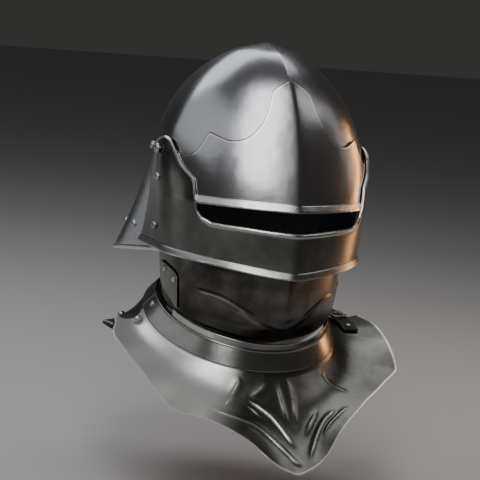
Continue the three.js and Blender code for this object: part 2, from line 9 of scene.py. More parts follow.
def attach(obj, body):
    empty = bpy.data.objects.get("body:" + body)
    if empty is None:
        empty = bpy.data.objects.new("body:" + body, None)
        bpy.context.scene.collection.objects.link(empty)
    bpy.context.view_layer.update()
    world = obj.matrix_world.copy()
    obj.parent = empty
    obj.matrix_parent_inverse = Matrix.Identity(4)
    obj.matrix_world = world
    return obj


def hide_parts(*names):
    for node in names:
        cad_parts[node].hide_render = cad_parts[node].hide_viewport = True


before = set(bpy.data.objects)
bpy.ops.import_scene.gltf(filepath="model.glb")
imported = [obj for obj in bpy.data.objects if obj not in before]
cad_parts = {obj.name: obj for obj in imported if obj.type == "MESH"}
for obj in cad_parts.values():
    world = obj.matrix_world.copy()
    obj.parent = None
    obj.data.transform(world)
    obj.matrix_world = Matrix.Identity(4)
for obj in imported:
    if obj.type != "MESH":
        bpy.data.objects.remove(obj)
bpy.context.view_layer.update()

# ---- Skull
# One shell raised from sheet steel, with a keel down its middle and a tail
# drawn out over the neck. Its lower edge is rolled over the tail and its face
# is planished and then polished by hand.
SKULL_HEIGHT = 105.0
SIGHT_DROP = 42.0
SKULL_HALF_WIDTH = 103.0
FRONT_REACH = 74.0
FRONT_KEEL = 16.0
BACK_KEEL = FRONT_KEEL * 0.4
BACK_REACH = 129.0
APEX_SETBACK = 22.0
CROWN_POWER = 2.2
CROWN_ROUND = 2.1
SIDE_POWER = 2.5
SIDE_ROUND = 1.6
BACK_ROUND = 1.36
JAW_TAPER = 9.0
SKULL_WALL = 1.8
TAIL_DROP = 96.0
TAIL_SLOPE = 28.0
TAIL_DEPTH = 118.0
TAIL_FLARE = 78.0
SIDE_FLARE = 18.0
NAPE_RISE = 10.0
FLARE_CURVE = 1.4
KEEL_ROUND = 0.018
ROLLED_RIM = 2.6
PEAK_FROM = 0.93
PEAK_SHARE = 0.7
# The plates are drawn in millimetres with the visor's pivots at height 0.
# This moves them so that the wearer's crown, inside the skull, is the origin.
CROWN = np.array([0.0, APEX_SETBACK, SKULL_HEIGHT - SKULL_WALL])
MILLIMETRE = 0.001
# Distances that a finish reads from its piece are cut off here
MARK_LIMIT = 30.0


def ease(low, high, x):
    t = np.clip((x - low) / (high - low), 0, 1)
    return t * t * (3 - 2 * t)


def mix(a, b, t):
    return a + (b - a) * t


def point(x, y, z):
    return np.stack(np.broadcast_arrays(x, y, z), axis=-1).astype(float)


def metres(distance):
    return np.clip(distance, 0, MARK_LIMIT) * MILLIMETRE


def peaked(s, power, curve):
    """The width left at a share of the skull's height, whose last part runs straight up to a peak."""
    dome = (1 - s**power) ** (1 / curve)
    cone = (1 - PEAK_FROM**power) ** (1 / curve) * (1 - s) / (1 - PEAK_FROM)
    return mix(dome, cone, PEAK_SHARE * ease(PEAK_FROM, 1, s))


def keel_share(sin):
    """How much of a keel's height is left beside it, for the sine of the azimuth."""
    return (1 - np.sqrt(sin**2 + KEEL_ROUND**2)) ** 2


def skull_point(azimuth, z):
    s = np.clip((z + SIGHT_DROP) / (SKULL_HEIGHT + SIGHT_DROP), 0, 1)
    sin, cos = np.sin(azimuth), np.cos(azimuth)
    front = cos > 0
    side = peaked(s, SIDE_POWER, SIDE_ROUND)
    shrink = np.where(front, peaked(s, CROWN_POWER, CROWN_ROUND), peaked(s, SIDE_POWER, BACK_ROUND))
    ridge = np.where(front, FRONT_KEEL, BACK_KEEL) * keel_share(sin)
    reach = np.where(front, FRONT_REACH, BACK_REACH)
    taper = 1 - JAW_TAPER / SKULL_HALF_WIDTH * np.clip(-z / TAIL_DROP, 0, 1) * ease(-0.5, 0.3, cos + 0.2)
    depth = np.clip((NAPE_RISE - z) / (TAIL_DEPTH + NAPE_RISE), 0, 1) ** FLARE_CURVE
    flare = 1 + depth * SIDE_FLARE / SKULL_HALF_WIDTH * ease(0, 0.6, -cos)
    x = SKULL_HALF_WIDTH * side * sin * flare * taper
    back = depth * TAIL_FLARE * ease(0, 0.9, -cos)
    y = APEX_SETBACK * s - np.sign(cos) * (reach * np.abs(cos) + ridge) * shrink + back
    return point(x, y, z)


def unit(v):
    return v / np.maximum(np.linalg.norm(v, axis=-1, keepdims=True), 1e-9)


def outward(surface, u, v, step=0.24):
    """The direction out of a surface that is given by azimuth and by height or share."""
    along = surface(u + 0.004, v) - surface(u - 0.004, v)
    up = surface(u, v + step) - surface(u, v - step)
    return unit(np.cross(along, up))


def lifted(surface, u, v, distance, step=0.24):
    u, v = np.broadcast_arrays(u, v)
    return surface(u, v) + outward(surface, u, v, step) * np.asarray(distance)[..., None]


def two_faces(surface, u, v, outer, inner, step=0.24):
    """A plate's outer and inner face, at two distances from the surface that it follows."""
    return [lifted(surface, u, v, distance, step) for distance in (outer, inner)]


def both_sides(half):
    """Columns from the wearer's right to the left, from those of the left half."""
    return np.concatenate([-half[:0:-1], half])


def lip(outer, inner, outer_next, inner_next, radius, count):
    """Round edge from the outer face to the inner one; a radius over half the wall makes a bead."""
    middle = (outer + inner) / 2
    half = np.linalg.norm(outer - inner, axis=-1) / 2
    out = unit(middle - (outer_next + inner_next) / 2)
    side = unit(outer - inner)
    radius = np.maximum(radius, half * 1.001)
    reach = np.sqrt(radius**2 - half**2)
    last = math.pi - np.arcsin(np.clip(half / radius, -1, 1))
    points = []
    for share in np.linspace(1, -1, count + 2)[1:-1]:
        turn = last * share
        swing = side * np.sin(turn)[:, None] + out * np.cos(turn)[:, None]
        points.append(middle + out * reach[:, None] + swing * radius[:, None])
    return np.stack(points, axis=1)


def rounded_ends(grid, inner, depth):
    """Adds a narrower column past each end, so that the plate's cut ends are rounded."""
    middle = (grid + inner) / 2
    step_first = unit(middle[0] - middle[1]) * depth
    step_last = unit(middle[-1] - middle[-2]) * depth

    def with_ends(side):
        first = middle[0] + (side[0] - middle[0]) * 0.4 + step_first
        last = middle[-1] + (side[-1] - middle[-1]) * 0.4 + step_last
        return np.concatenate([first[None], side, last[None]])

    return with_ends(grid), with_ends(inner)


def added(name, data):
    piece = bpy.data.objects.new(name, data)
    bpy.context.scene.collection.objects.link(piece)
    return piece


def plate(name, outer, inner, finishes, marks, ring=False, dome=False, low=0.0, top=0.0, lip_points=3):
    """A closed plate from a grid of outer points and one of inner points, columns by rows."""
    if not ring:
        outer, inner = rounded_ends(outer, inner, 0.7)
        marks = {key: np.concatenate([m[:1], m, m[-1:]]) for key, m in marks.items()}
    columns, rows = outer.shape[:2]
    low, top = np.broadcast_to(low, columns), np.broadcast_to(top, columns)
    bottom = lip(outer[:, 0], inner[:, 0], outer[:, 1], inner[:, 1], low, lip_points)[:, ::-1]
    parts = [outer]
    if not dome:
        parts.append(lip(outer[:, -1], inner[:, -1], outer[:, -2], inner[:, -2], top, lip_points))
    parts += [inner[:, ::-1], bottom]
    loop = np.concatenate(parts, axis=1)
    size = loop.shape[1]
    gap = 0 if dome else lip_points
    points = (loop.reshape(-1, 3) - CROWN) * MILLIMETRE
    spans = columns if ring else columns - 1
    i, j = np.meshgrid(np.arange(spans), np.arange(size), indexing="ij")
    if dome:
        keep = j != rows - 1
        i, j = i[keep], j[keep]
    i, j = i.ravel(), j.ravel()
    k, m = (i + 1) % columns, (j + 1) % size
    faces = np.stack([i * size + j, k * size + j, k * size + m, i * size + m], axis=1).tolist()
    inside = ((j >= rows + gap) & (j < rows * 2 + gap - 1)).astype(int).tolist()
    if not ring:
        for c in (0, columns - 1):
            start = c * size
            for r in range(rows - 1):
                far = rows * 2 + gap - 1 - r
                faces.append([start + r, start + r + 1, start + far - 1, start + far])
            faces.append([start + n for n in range(rows - 1, rows + gap + 1)])
            faces.append([start + n % size for n in range(rows * 2 + gap - 1, size + 1)])
            inside += [0] * (rows + 1)
    mesh = bpy.data.meshes.new(name)
    mesh.from_pydata(points.tolist(), [], faces)
    mesh.polygons.foreach_set("material_index", inside)
    for key, mark in marks.items():
        top_mark, low_mark = [mark[:, -1:]] * gap, [mark[:, :1]] * lip_points
        whole = np.concatenate([mark, *top_mark, mark[:, ::-1], *low_mark], axis=1)
        attribute = mesh.attributes.new(key, "FLOAT", "POINT")
        attribute.data.foreach_set("value", whole.ravel().astype(np.float32))
    for finish in finishes:
        mesh.materials.append(finish)
    closed(mesh)
    return added(name, mesh)


def smoothed(mesh, sharp):
    """Smooths all edges that turn by less than an angle in degrees."""
    mesh.polygons.foreach_set("use_smooth", [True] * len(mesh.polygons))
    mesh.set_sharp_from_angle(angle=math.radians(sharp))


def closed(mesh, sharp=50):
    """Joins doubled points, turns the faces out and smooths all but the sharp edges."""
    work = bmesh.new()
    work.from_mesh(mesh)
    bmesh.ops.remove_doubles(work, verts=work.verts, dist=1e-6)
    bmesh.ops.dissolve_degenerate(work, edges=work.edges, dist=1e-7)
    bmesh.ops.recalc_face_normals(work, faces=work.faces)
    work.to_mesh(mesh)
    work.free()
    smoothed(mesh, sharp)


class Wire:
    """An output of a finish's node, on which plain sums can be written."""

    def __init__(self, finish, socket):
        self.finish, self.socket = finish, socket

    def _math(self, operation, a, b):
        return self.finish.node("ShaderNodeMath", {"operation": operation}, {0: a, 1: b})

    def __add__(self, other):
        return self._math("ADD", self, other)

    __radd__ = __add__

    def __sub__(self, other):
        return self._math("SUBTRACT", self, other)

    def __rsub__(self, other):
        return self._math("SUBTRACT", other, self)

    def __mul__(self, other):
        return self._math("MULTIPLY", self, other)


class Finish:
    """The nodes of one finish: a surface shader and what varies over the piece."""

    def __init__(self, name):
        self.material = bpy.data.materials.new(name)
        self.material.use_nodes = True
        self.tree = self.material.node_tree
        self.tree.nodes.clear()
        self.shader = self.tree.nodes.new("ShaderNodeBsdfPrincipled")
        output = self.tree.nodes.new("ShaderNodeOutputMaterial")
        self.tree.links.new(self.shader.outputs[0], output.inputs[0])

    def node(self, kind, settings=None, inputs=None, output=0):
        node = self.tree.nodes.new(kind)
        for key, value in (settings or {}).items():
            setattr(node, key, value)
        self.fill(node, inputs or {})
        return Wire(self, node.outputs[output])

    def fill(self, node, inputs):
        for key, value in inputs.items():
            if isinstance(value, Wire):
                self.tree.links.new(value.socket, node.inputs[key])
            else:
                node.inputs[key].default_value = value

    def shade(self, inputs):
        self.fill(self.shader, inputs)
        return self.material

    def noise(self, scale, detail, vector, roughness=0.5):
        inputs = {"Vector": vector, "Scale": scale, "Detail": detail, "Roughness": roughness}
        return self.node("ShaderNodeTexNoise", None, inputs)

    def ramp(self, value, stops):
        wire = self.node("ShaderNodeValToRGB", None, {0: value})
        elements = wire.socket.node.color_ramp.elements
        while len(elements) < len(stops):
            elements.new(0.5)
        for element, (position, shade) in zip(elements, stops):
            element.position = position
            element.color = (*shade, 1)
        return wire

    def step(self, value, low, high):
        smooth = {"interpolation_type": "SMOOTHSTEP"}
        return self.node("ShaderNodeMapRange", smooth, {0: value, 1: low, 2: high})

    def blend(self, share, a, b):
        colours = {6: a, 7: b}
        for key, value in colours.items():
            if isinstance(value, tuple):
                colours[key] = (*value, 1)
        return self.node("ShaderNodeMix", {"data_type": "RGBA"}, {0: share, **colours}, 2)

    def place(self, scale=(1, 1, 1), turn=(0, 0, 0)):
        here = self.node("ShaderNodeTexCoord", None, None, "Object")
        return self.node("ShaderNodeMapping", None, {"Vector": here, "Scale": scale, "Rotation": turn})

    def mark(self, name):
        return self.node("ShaderNodeAttribute", {"attribute_name": name}, None, "Fac")

    def past(self, name, low, high):
        """From 0 to 1 where a mark goes from one value to another, in metres for a distance."""
        return self.step(self.mark(name), low, high)

    def between(self, name, rise_from, rise_to, fall_from, fall_to):
        return self.past(name, rise_from, rise_to) * (1 - self.past(name, fall_from, fall_to))

    def bump(self, height, distance, strength=1.0, normal=None):
        inputs = {"Height": height, "Distance": distance, "Strength": strength}
        if normal is not None:
            inputs["Normal"] = normal
        return self.node("ShaderNodeBump", None, inputs)


BLACK, WHITE = (0, 0, 0), (1, 1, 1)
# Colours of the painted highlights along edges
BORDER_EDGE_HIGHLIGHT = (0.86, 0.85, 0.83)
CUT_EDGE_HIGHLIGHT = (0.88, 0.87, 0.85)


def polished_steel(name, light, dark, rough, pits, *details):
    """Hand-polished steel: cloudy tone, fine pits, crossing scratches, and the details named."""
    f = Finish(name)
    here = f.place()
    metal = 1.0
    cloud = f.noise(13, 4, here, 0.55)
    patch = f.noise(52, 3, here, 0.6)
    tone = f.ramp(cloud, [(0.36, BLACK), (0.64, WHITE)])
    colour = f.blend(tone, dark, light)
    colour = f.blend(f.step(patch, 0.35, 0.7) * 0.22, colour, (0.30, 0.29, 0.27))
    if "shoulder" in details:
        # A painted highlight on the wearer's right shoulder: lighter, less metallic steel stands in for the
        # reflection of the light above it
        away = f.step(f.mark("along") + (cloud - 0.5) * 0.03, -0.078, -0.034)
        colour = f.blend(away, (0.84, 0.835, 0.83), colour)
        metal = away * 0.3 + 0.7
        rough = (1 - away) * 0.05 + rough
    pitted = f.step(f.noise(700, 3, here, 0.7), 0.60, 0.72) * f.step(f.noise(24, 3, here), 0.44, 0.62)
    pitted = pitted * pits
    colour = f.blend(pitted * 0.6, colour, (0.10, 0.095, 0.09))
    rub_a = f.noise(1.0, 3, f.place((2600, 170, 900), (0.3, 0.1, 0.5)), 0.6)
    rub_b = f.noise(1.0, 3, f.place((240, 2400, 700), (0.2, 0.7, -0.4)), 0.6)
    rub = rub_a * 0.5 + rub_b * 0.5
    rough = (cloud - 0.5) * 0.12 + (rub - 0.5) * 0.16 + pitted * 0.25 + rough
    height = rub * 0.14 + f.noise(1500, 2, here, 0.6) * 0.012 - pitted * 0.9
    if "border" in details:
        # Brushed along its length and lighter, partly the brushed steel and partly a painted highlight,
        # with a painted highlight line at the very edge
        band = 1 - f.past("edge", 0.0046, 0.0056)
        strokes = f.node("ShaderNodeCombineXYZ", None, {0: f.mark("along") * 90, 1: f.mark("edge") * 3400})
        brushed = f.noise(1.0, 3, strokes, 0.65)
        colour = f.blend(band * (0.2 + brushed * 0.6), colour, (0.72, 0.71, 0.68))
        colour = f.blend((1 - f.past("edge", 0.0002, 0.0011)) * 0.7, colour, BORDER_EDGE_HIGHLIGHT)
        rough = rough + band * (brushed - 0.35) * 0.22
        height = height + band * brushed * 0.5
    if "flutes" in details:
        # Crests are rubbed bright, and a painted highlight runs along the cut rim
        rubbed = f.step(f.mark("crest") + (patch - 0.5) * 0.5, 0.35, 0.95)
        colour = f.blend(rubbed * 0.8, colour, (0.80, 0.79, 0.76))
        height = height + rubbed * f.noise(900, 3, here, 0.7) * 0.8
        rim = 1 - f.step(f.mark("edge") + (patch - 0.5) * 0.001, 0.0006, 0.0017)
        colour = f.blend(rim * 0.85, colour, CUT_EDGE_HIGHLIGHT)
        rough = rough + rim * 0.1
    if "slot" in details:
        groove = f.between("slot", 0.0007, 0.0012, 0.0018, 0.0024)
        colour = f.blend(groove * 0.8, colour, (0.02, 0.02, 0.018))
        height = height - groove * 1.5
    # Painted shade: the bevor darkens towards the throat, where it turns in inside the collar
    if "throat_painted_shade" in details:
        colour = f.blend(f.past("down", 0.66, 0.95) * 0.75, colour, (0.02, 0.018, 0.015))
    if "cut" in details:
        # A painted highlight along the cut edge, and a painted shadow in the corner under it
        colour = f.blend(f.between("cut", 0.0004, 0.0009, 0.0012, 0.0019) * 0.85, colour, CUT_EDGE_HIGHLIGHT)
        colour = f.blend((1 - f.past("cut", 0.0002, 0.0006)) * 0.85, colour, (0.03, 0.028, 0.025))
    # Slow waves from the planishing hammer, then the fine scratches on them
    relief = f.bump(f.noise(16, 2, here), 0.0035, 0.3)
    relief = f.bump(f.noise(38, 2, here), 0.0009, 0.35, relief)
    relief = f.bump(height, 0.00012, 0.6, relief)
    return f.shade({"Base Color": colour, "Metallic": metal, "Roughness": rough, "Normal": relief})


def lining_black(name):
    """The unpolished inside of a plate, left dark from the forge."""
    f = Finish(name)
    here = f.place()
    scale = f.noise(90, 5, here, 0.65)
    stops = [(0.3, (0.012, 0.011, 0.010)), (0.55, (0.028, 0.026, 0.024)), (0.75, (0.05, 0.042, 0.036))]
    colour = f.ramp(scale, stops)
    rough = f.step(scale, 0.2, 0.8) * 0.25 + 0.55
    relief = f.bump(f.noise(320, 4, here, 0.7), 0.0006, 0.5)
    return f.shade({"Base Color": colour, "Metallic": 0.6, "Roughness": rough, "Normal": relief})


skull_steel = polished_steel("skull steel", (0.52, 0.53, 0.56), (0.40, 0.405, 0.43), 0.25, 0.12, "border")
forge_black = lining_black("forge black")

# Columns crowd towards the keel, and rows towards the rim and the peak
turn = np.arange(300) / 300 * math.tau
skull_azimuth = turn - 0.38 * np.sin(turn)
from_front = np.degrees(np.abs(np.arctan2(np.sin(skull_azimuth), np.cos(skull_azimuth))))
beaded = ease(82, 96, from_front)
brow_to_tail = mix(SIGHT_DROP, TAIL_DROP, ease(68, 84, from_front)) + TAIL_SLOPE * ease(84, 150, from_front)
skull_rim = beaded * ROLLED_RIM * 1.6 - brow_to_tail
climb = 1 - (1 - np.linspace(0, 1, 110)) ** 1.7
climb = np.concatenate([[0, 0.003, 0.006], climb[1:]])
skull_rows = mix(skull_rim[:, None], SKULL_HEIGHT - 0.02, climb[None, :])
skull_outer, skull_inner = two_faces(skull_point, skull_azimuth[:, None], skull_rows, 0, -SKULL_WALL)
skull_outer[:, -1] = (0, APEX_SETBACK, SKULL_HEIGHT)
skull_inner[:, -1] = (0, APEX_SETBACK, SKULL_HEIGHT - SKULL_WALL)
skull_inner[:, -2] = mix(skull_inner[:, -3], skull_inner[:, -1], 0.5)
skull_marks = {
    "edge": metres(skull_rows - skull_rows[:, :1] + (1 - beaded[:, None]) * MARK_LIMIT),
    "along": np.broadcast_to(skull_azimuth[:, None] * 0.12, skull_rows.shape),
}
skull = plate(
    "skull_shell", skull_outer, skull_inner, [skull_steel, forge_black], skull_marks,
    ring=True, dome=True, low=SKULL_WALL / 2 + beaded * (ROLLED_RIM - SKULL_WALL / 2), lip_points=9,
)
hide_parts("skull")
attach(skull, "helmet")

# ---- Brow plate
# A second plate over the forehead, cut in scallops along its upper edge and
# fitted close to the skull. Its lower edge over the sight has a raised border,
# brushed along its length.
BROW_WALL = 1.6
BROW_TOP = 74.0
PLATE_FIT = 1.0
BORDER_RISE = 0.5
BORDER_WIDTH = 5.0
BROW_END = 76.0
BROW_FLARE = 1.8
# The mean radius of the plates, for distances round the head
ROUND_HEAD = 92.0
# Azimuth in degrees and share of the brow plate's height
BROW_EDGE = [
    (0, 1), (5.5, 0.96), (12, 0.88), (14.5, 0.83), (15.2, 0.72), (17, 0.58), (19.5, 0.45),
    (23.5, 0.33), (28, 0.25), (33, 0.215), (38, 0.215), (44, 0.25), (50, 0.29), (53, 0.14),
    (56, 0.04), (60, -0.01), (66, -0.03), (72, 0), (76, 0.02),
]


def edge_curve(table, degrees, soften):
    """A table's second column, its corners eased over some degrees. One from 0 on serves both sides."""
    table = np.array(table, float)
    shares = np.linspace(-2, 2, 17)
    weights = np.exp(-shares**2 / 2)
    eased = 0
    for share, weight in zip(shares, weights):
        at = np.asarray(degrees, float) + share * soften
        eased = eased + weight * np.interp(np.abs(at) if table[0, 0] == 0 else at, table[:, 0], table[:, 1])
    return eased / weights.sum()


def edge_rows(low, top, count, fine_low, fine_top):
    """Heights from a plate's lower to its upper edge, closer together near both edges."""
    near_low, near_top = np.array(fine_low, float), np.array(fine_top, float)[::-1]
    room = np.maximum(top - low, 0.5)[:, None]
    squeeze = np.minimum(1, room / (near_low[-1] + near_top[0] + 4))
    start = low[:, None] + near_low * squeeze
    end = top[:, None] - near_top * squeeze
    share = np.linspace(0, 1, count + 2)[1:-1]
    middle = mix(start[:, -1:], end[:, :1], share)
    return np.concatenate([start, middle, end], axis=1)


def distance_to(line, along, across):
    """The distance of each grid point from a line of (along, across) points."""
    nearest = np.full(along.shape, 1e9)
    for a, b in zip(line[:-1], line[1:]):
        step = b - a
        length = max(step @ step, 1e-9)
        t = np.clip(((along - a[0]) * step[0] + (across - a[1]) * step[1]) / length, 0, 1)
        nearest = np.minimum(nearest, np.hypot(along - a[0] - t * step[0], across - a[1] - t * step[1]))
    return nearest


def border_rise(distance, width):
    return BORDER_RISE * (1 - ease(width, width + 0.9, distance))


# Columns are closest at the keel and spread out to the plate's ends
brow_half = BROW_END * ((np.geomspace(0.6, BROW_END + 0.6, 190) - 0.6) / BROW_END) ** 0.62
brow_degrees = both_sides(brow_half)
brow_azimuth = np.radians(brow_degrees)
brow_high = BROW_TOP * edge_curve(BROW_EDGE, brow_degrees, 0.35)
brow_low = np.full(len(brow_degrees), -SIGHT_DROP)
near_border = [0, 0.7, 1.5, 2.6, 3.8, 4.8, 5.2, 5.6, 6.0, 6.6, 7.6]
brow_z = edge_rows(brow_low, brow_high, 34, near_border, [0, 0.6, 1.4])
brow_edge = brow_z - brow_low[:, None]
brow_flare = BROW_FLARE * np.clip(1 - brow_edge / BORDER_WIDTH, 0, 1)
brow_lift = PLATE_FIT + BROW_WALL + border_rise(brow_edge, BORDER_WIDTH) + brow_flare
brow_arc = np.broadcast_to(brow_azimuth[:, None] * ROUND_HEAD, brow_z.shape)
brow_line = np.stack([brow_azimuth * ROUND_HEAD, brow_high], axis=1)
brow_marks = {
    "edge": metres(brow_edge),
    "along": np.broadcast_to(brow_azimuth[:, None] * 0.09, brow_z.shape),
    "cut": metres(distance_to(brow_line, brow_arc, brow_z)),
}
# Its "cut" detail paints a highlight and a shadow along the scalloped upper edge
brow_steel = polished_steel(
    "brow steel", (0.53, 0.535, 0.56), (0.41, 0.41, 0.435), 0.24, 0.12, "border", "cut",
)
brow = plate(
    "brow_reinforce",
    *two_faces(skull_point, brow_azimuth[:, None], brow_z, brow_lift, PLATE_FIT + brow_flare * 0.8),
    [brow_steel, forge_black], brow_marks,
)
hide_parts("brow_plate")
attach(brow, "helmet")

# ---- Visor
# A keeled band below the sight with an arm up each temple, cut from one sheet
# and hung on the two pivots. A raised border runs along its upper edge, and
# its lower edge has a second one that flares out a little.
VISOR_WALL = 2.0
VISOR_STANDOFF = 5.6
SIGHT_GAP = 20.5
VISOR_BAND = 41.5
VISOR_SWEEP = 8.0
SIGHT_LOW = SIGHT_DROP + SIGHT_GAP
VISOR_FLANGE = 2.2
UPPER_BEAD = 0.9
BEAD_AT_SIGHT = 3.4
BEAD_UP_THE_ARM = 1.15
# Azimuth in degrees, upper edge as a share of the pivots' height over the
# sight's lower edge, lower edge as a share of the band's height
VISOR_EDGE = [
    (0, 0, 1), (12, 0.01, 0.97), (24, 0.03, 0.92), (37, 0.04, 0.86), (45, 0.05, 0.83),
    (50.5, 0.11, 0.81), (53.5, 0.2, 0.8), (55.2, 0.34, 0.8), (55.8, 0.59, 0.79), (56.6, 0.65, 0.79),
    (61, 0.73, 0.78), (66.5, 0.84, 0.77), (72, 1.02, 0.76), (79, 1.15, 0.74), (86, 1.18, 0.73),
    (92, 1.14, 0.72), (95.5, 1.04, 0.71),
]
# A narrow slot is let into each arm, from below the pivot to the next rivet
SLOT = np.array([(144.5, -7.0), (145.0, -21.0)])
visor_half = np.concatenate([
    np.geomspace(0.4, 8.4, 14) - 0.4, np.linspace(8.6, 46, 48),
    np.linspace(46.4, 62, 58), np.linspace(62.6, 95.5, 44),
])
visor_degrees = both_sides(visor_half)
visor_tops = [row[:2] for row in VISOR_EDGE]
crisp, soft = edge_curve(visor_tops, visor_degrees, 0.3), edge_curve(visor_tops, visor_degrees, 1.8)
visor_high = mix(-SIGHT_LOW, 0, mix(crisp, soft, ease(57, 62, np.abs(visor_degrees))))
visor_low = -SIGHT_LOW - VISOR_BAND * edge_curve([row[::2] for row in VISOR_EDGE], visor_degrees, 1.5)
visor_z = edge_rows(visor_low, visor_high, 40, near_border, near_border)
sweep = np.sign(visor_degrees) * VISOR_SWEEP * ease(60, 95, np.abs(visor_degrees))
visor_share = (visor_z - visor_low[:, None]) / (visor_high - visor_low)[:, None]
visor_azimuth = np.radians(visor_degrees[:, None] + sweep[:, None] * (1 - visor_share))
arc = visor_azimuth * ROUND_HEAD
upper_line = np.stack([np.radians(visor_degrees) * ROUND_HEAD, visor_high], axis=1)
lower_line = np.stack([arc[:, 0], visor_low], axis=1)
from_upper = distance_to(upper_line, arc, visor_z)
from_lower = distance_to(lower_line, arc, visor_z)
flange = VISOR_FLANGE * np.clip(1 - from_lower / (BORDER_WIDTH + 0.5), 0, 1)
bead_width = mix(BEAD_AT_SIGHT, BEAD_UP_THE_ARM, ease(46, 58, np.abs(visor_degrees)))[:, None]
bead = UPPER_BEAD * np.sqrt(np.sin(math.pi * np.clip(from_upper / bead_width, 0, 1)).clip(0))
visor_rise = bead + border_rise(from_lower, BORDER_WIDTH - 0.4) + flange
visor_marks = {
    "edge": metres(np.minimum(from_upper * 4.8 / bead_width, from_lower)),
    "along": arc * MILLIMETRE,
    "slot": metres(distance_to(SLOT, np.abs(arc), visor_z)),
}
visor_steel = polished_steel(
    "visor steel", (0.22, 0.22, 0.205), (0.15, 0.15, 0.14), 0.26, 0.3, "border", "slot",
)
visor_out, visor_in = VISOR_STANDOFF + visor_rise, VISOR_STANDOFF - VISOR_WALL + flange * 0.8
visor = plate(
    "visor_band", *two_faces(skull_point, visor_azimuth, visor_z, visor_out, visor_in),
    [visor_steel, forge_black], visor_marks,
)
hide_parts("visor")
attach(visor, "visor")

# ---- Bevor
# The chin defence: a keeled plate tucked inside the visor, with a crease that
# swoops from each cheek down to the keel and turns the plate in at the throat.
BEVOR_WALL = 1.8
BEVOR_TUCK = 22.0
CHEEK_INSET = 18.0
BEVOR_DEPTH = 62.0
BEVOR_KEEL = 27.0
BEVOR_DROP = 62.0
BEVOR_BACK = 138.0
BEVOR_END = 114.0
HINGE_WALL = 1.6
COLLAR_RADIUS = 86.0
COLLAR_SETBACK = 20.0
COLLAR_DROP = 151.0
COLLAR_TILT = math.radians(20)
COLLAR_HEIGHT = 15.0
COLLAR_FLARE = 9.0
COLLAR_WALL = 1.6
THROAT_HOLLOW = 6.0
SEAT = 0.4
# Share of the way down, share of the way from the cheeks' width in to the
# throat's, and shares of the depth and the keel
BEVOR_ROWS = [
    (0, 0, 1, 1), (0.3, 0, 1, 1), (0.52, 0.2, 0.99, 1), (0.72, 0.5, 0.95, 0.95),
    (0.88, 0.8, 0.9, 0.8), (1, 1, 0.84, 0.6),
]
BEVOR_TOP = -SIGHT_DROP - SIGHT_GAP - VISOR_BAND + BEVOR_TUCK
JAW_HALF_WIDTH = SKULL_HALF_WIDTH + JAW_TAPER * BEVOR_TOP / TAIL_DROP
BEVOR_HALF_WIDTH = SKULL_HALF_WIDTH - CHEEK_INSET
CHEEK_REACH = JAW_HALF_WIDTH - SKULL_WALL - PLATE_FIT * 0.7 - BEVOR_HALF_WIDTH
THROAT_RADIUS = COLLAR_RADIUS - COLLAR_WALL * 2 - SEAT * 2
THROAT_HALF_WIDTH = THROAT_RADIUS - 1.2
# The crease: azimuth in degrees and share of the way down
CREASE = [
    (0, 0.845), (8.5, 0.815), (17, 0.755), (28, 0.66), (36, 0.61), (42, 0.595), (53, 0.6),
    (62, 0.61), (114, 0.61),
]
CREASE_RIDGE = 0.9
CREASE_STEP = 0.7


def ring_point(azimuth, radius, height):
    y = -radius * np.cos(azimuth)
    tilt_cos, tilt_sin = math.cos(COLLAR_TILT), math.sin(COLLAR_TILT)
    return point(
        radius * np.sin(azimuth),
        COLLAR_SETBACK + y * tilt_cos - height * tilt_sin,
        -COLLAR_DROP + y * tilt_sin + height * tilt_cos,
    )


def bevor_foot(azimuth):
    front = ease(0.05, 0.8, np.cos(azimuth)) + 0.1 * ease(0, 0.2, np.cos(azimuth))
    return ring_point(azimuth, THROAT_RADIUS - (HINGE_WALL + SEAT - COLLAR_WALL) - THROAT_HOLLOW * front, 1)


def bevor_point(azimuth, down):
    sin, cos = np.sin(azimuth), np.cos(azimuth)
    rows = np.array(BEVOR_ROWS).T
    narrow, front, ridge = (np.interp(down, rows[0], column) for column in rows[1:])
    spread = ease(0.5, 0.97, np.abs(sin)) * (1 - ease(0.1, 0.35, -cos))
    width = mix(BEVOR_HALF_WIDTH, THROAT_HALF_WIDTH, narrow)
    x = (width + CHEEK_REACH * (1 - np.clip(down / 0.16, 0, 1)) * spread) * sin
    keel = BEVOR_KEEL * ridge * keel_share(sin)
    reach = np.where(cos > 0, BEVOR_DEPTH * front, BEVOR_BACK)
    return point(x, -reach * cos - keel, mix(BEVOR_TOP, bevor_foot(azimuth)[..., 2] + 8, down))


def bevor_share(azimuth, percent):
    return bevor_point(azimuth, 1 - percent / 100)


bevor_half = np.concatenate([np.geomspace(0.4, 10.4, 18) - 0.4, np.linspace(10.8, BEVOR_END, 110)])
bevor_azimuth = np.radians(both_sides(bevor_half))[:, None]
bevor_percent = np.linspace(0, 100, 90)[None, :]
crease_down = edge_curve(CREASE, np.degrees(bevor_azimuth), 2.5)
below = (1 - bevor_percent / 100 - crease_down) * BEVOR_DROP
crease_rise = CREASE_RIDGE * np.exp(-((below + 0.6) / 1.2) ** 2) - CREASE_STEP * ease(0, 6, below)
bevor_lift = crease_rise * (1 - ease(50, 62, np.abs(np.degrees(bevor_azimuth))))


def with_foot(face, drop):
    """Carries a face of the bevor down to the throat in three more rows."""
    azimuth = bevor_azimuth[:, 0]
    foot = bevor_foot(azimuth) + drop * point(np.sin(azimuth), -np.cos(azimuth), 0)
    foot = mix(foot[:, None], face[:, :1], np.array([0, 0.35, 0.7])[None, :, None])
    return np.concatenate([foot, face], axis=1)


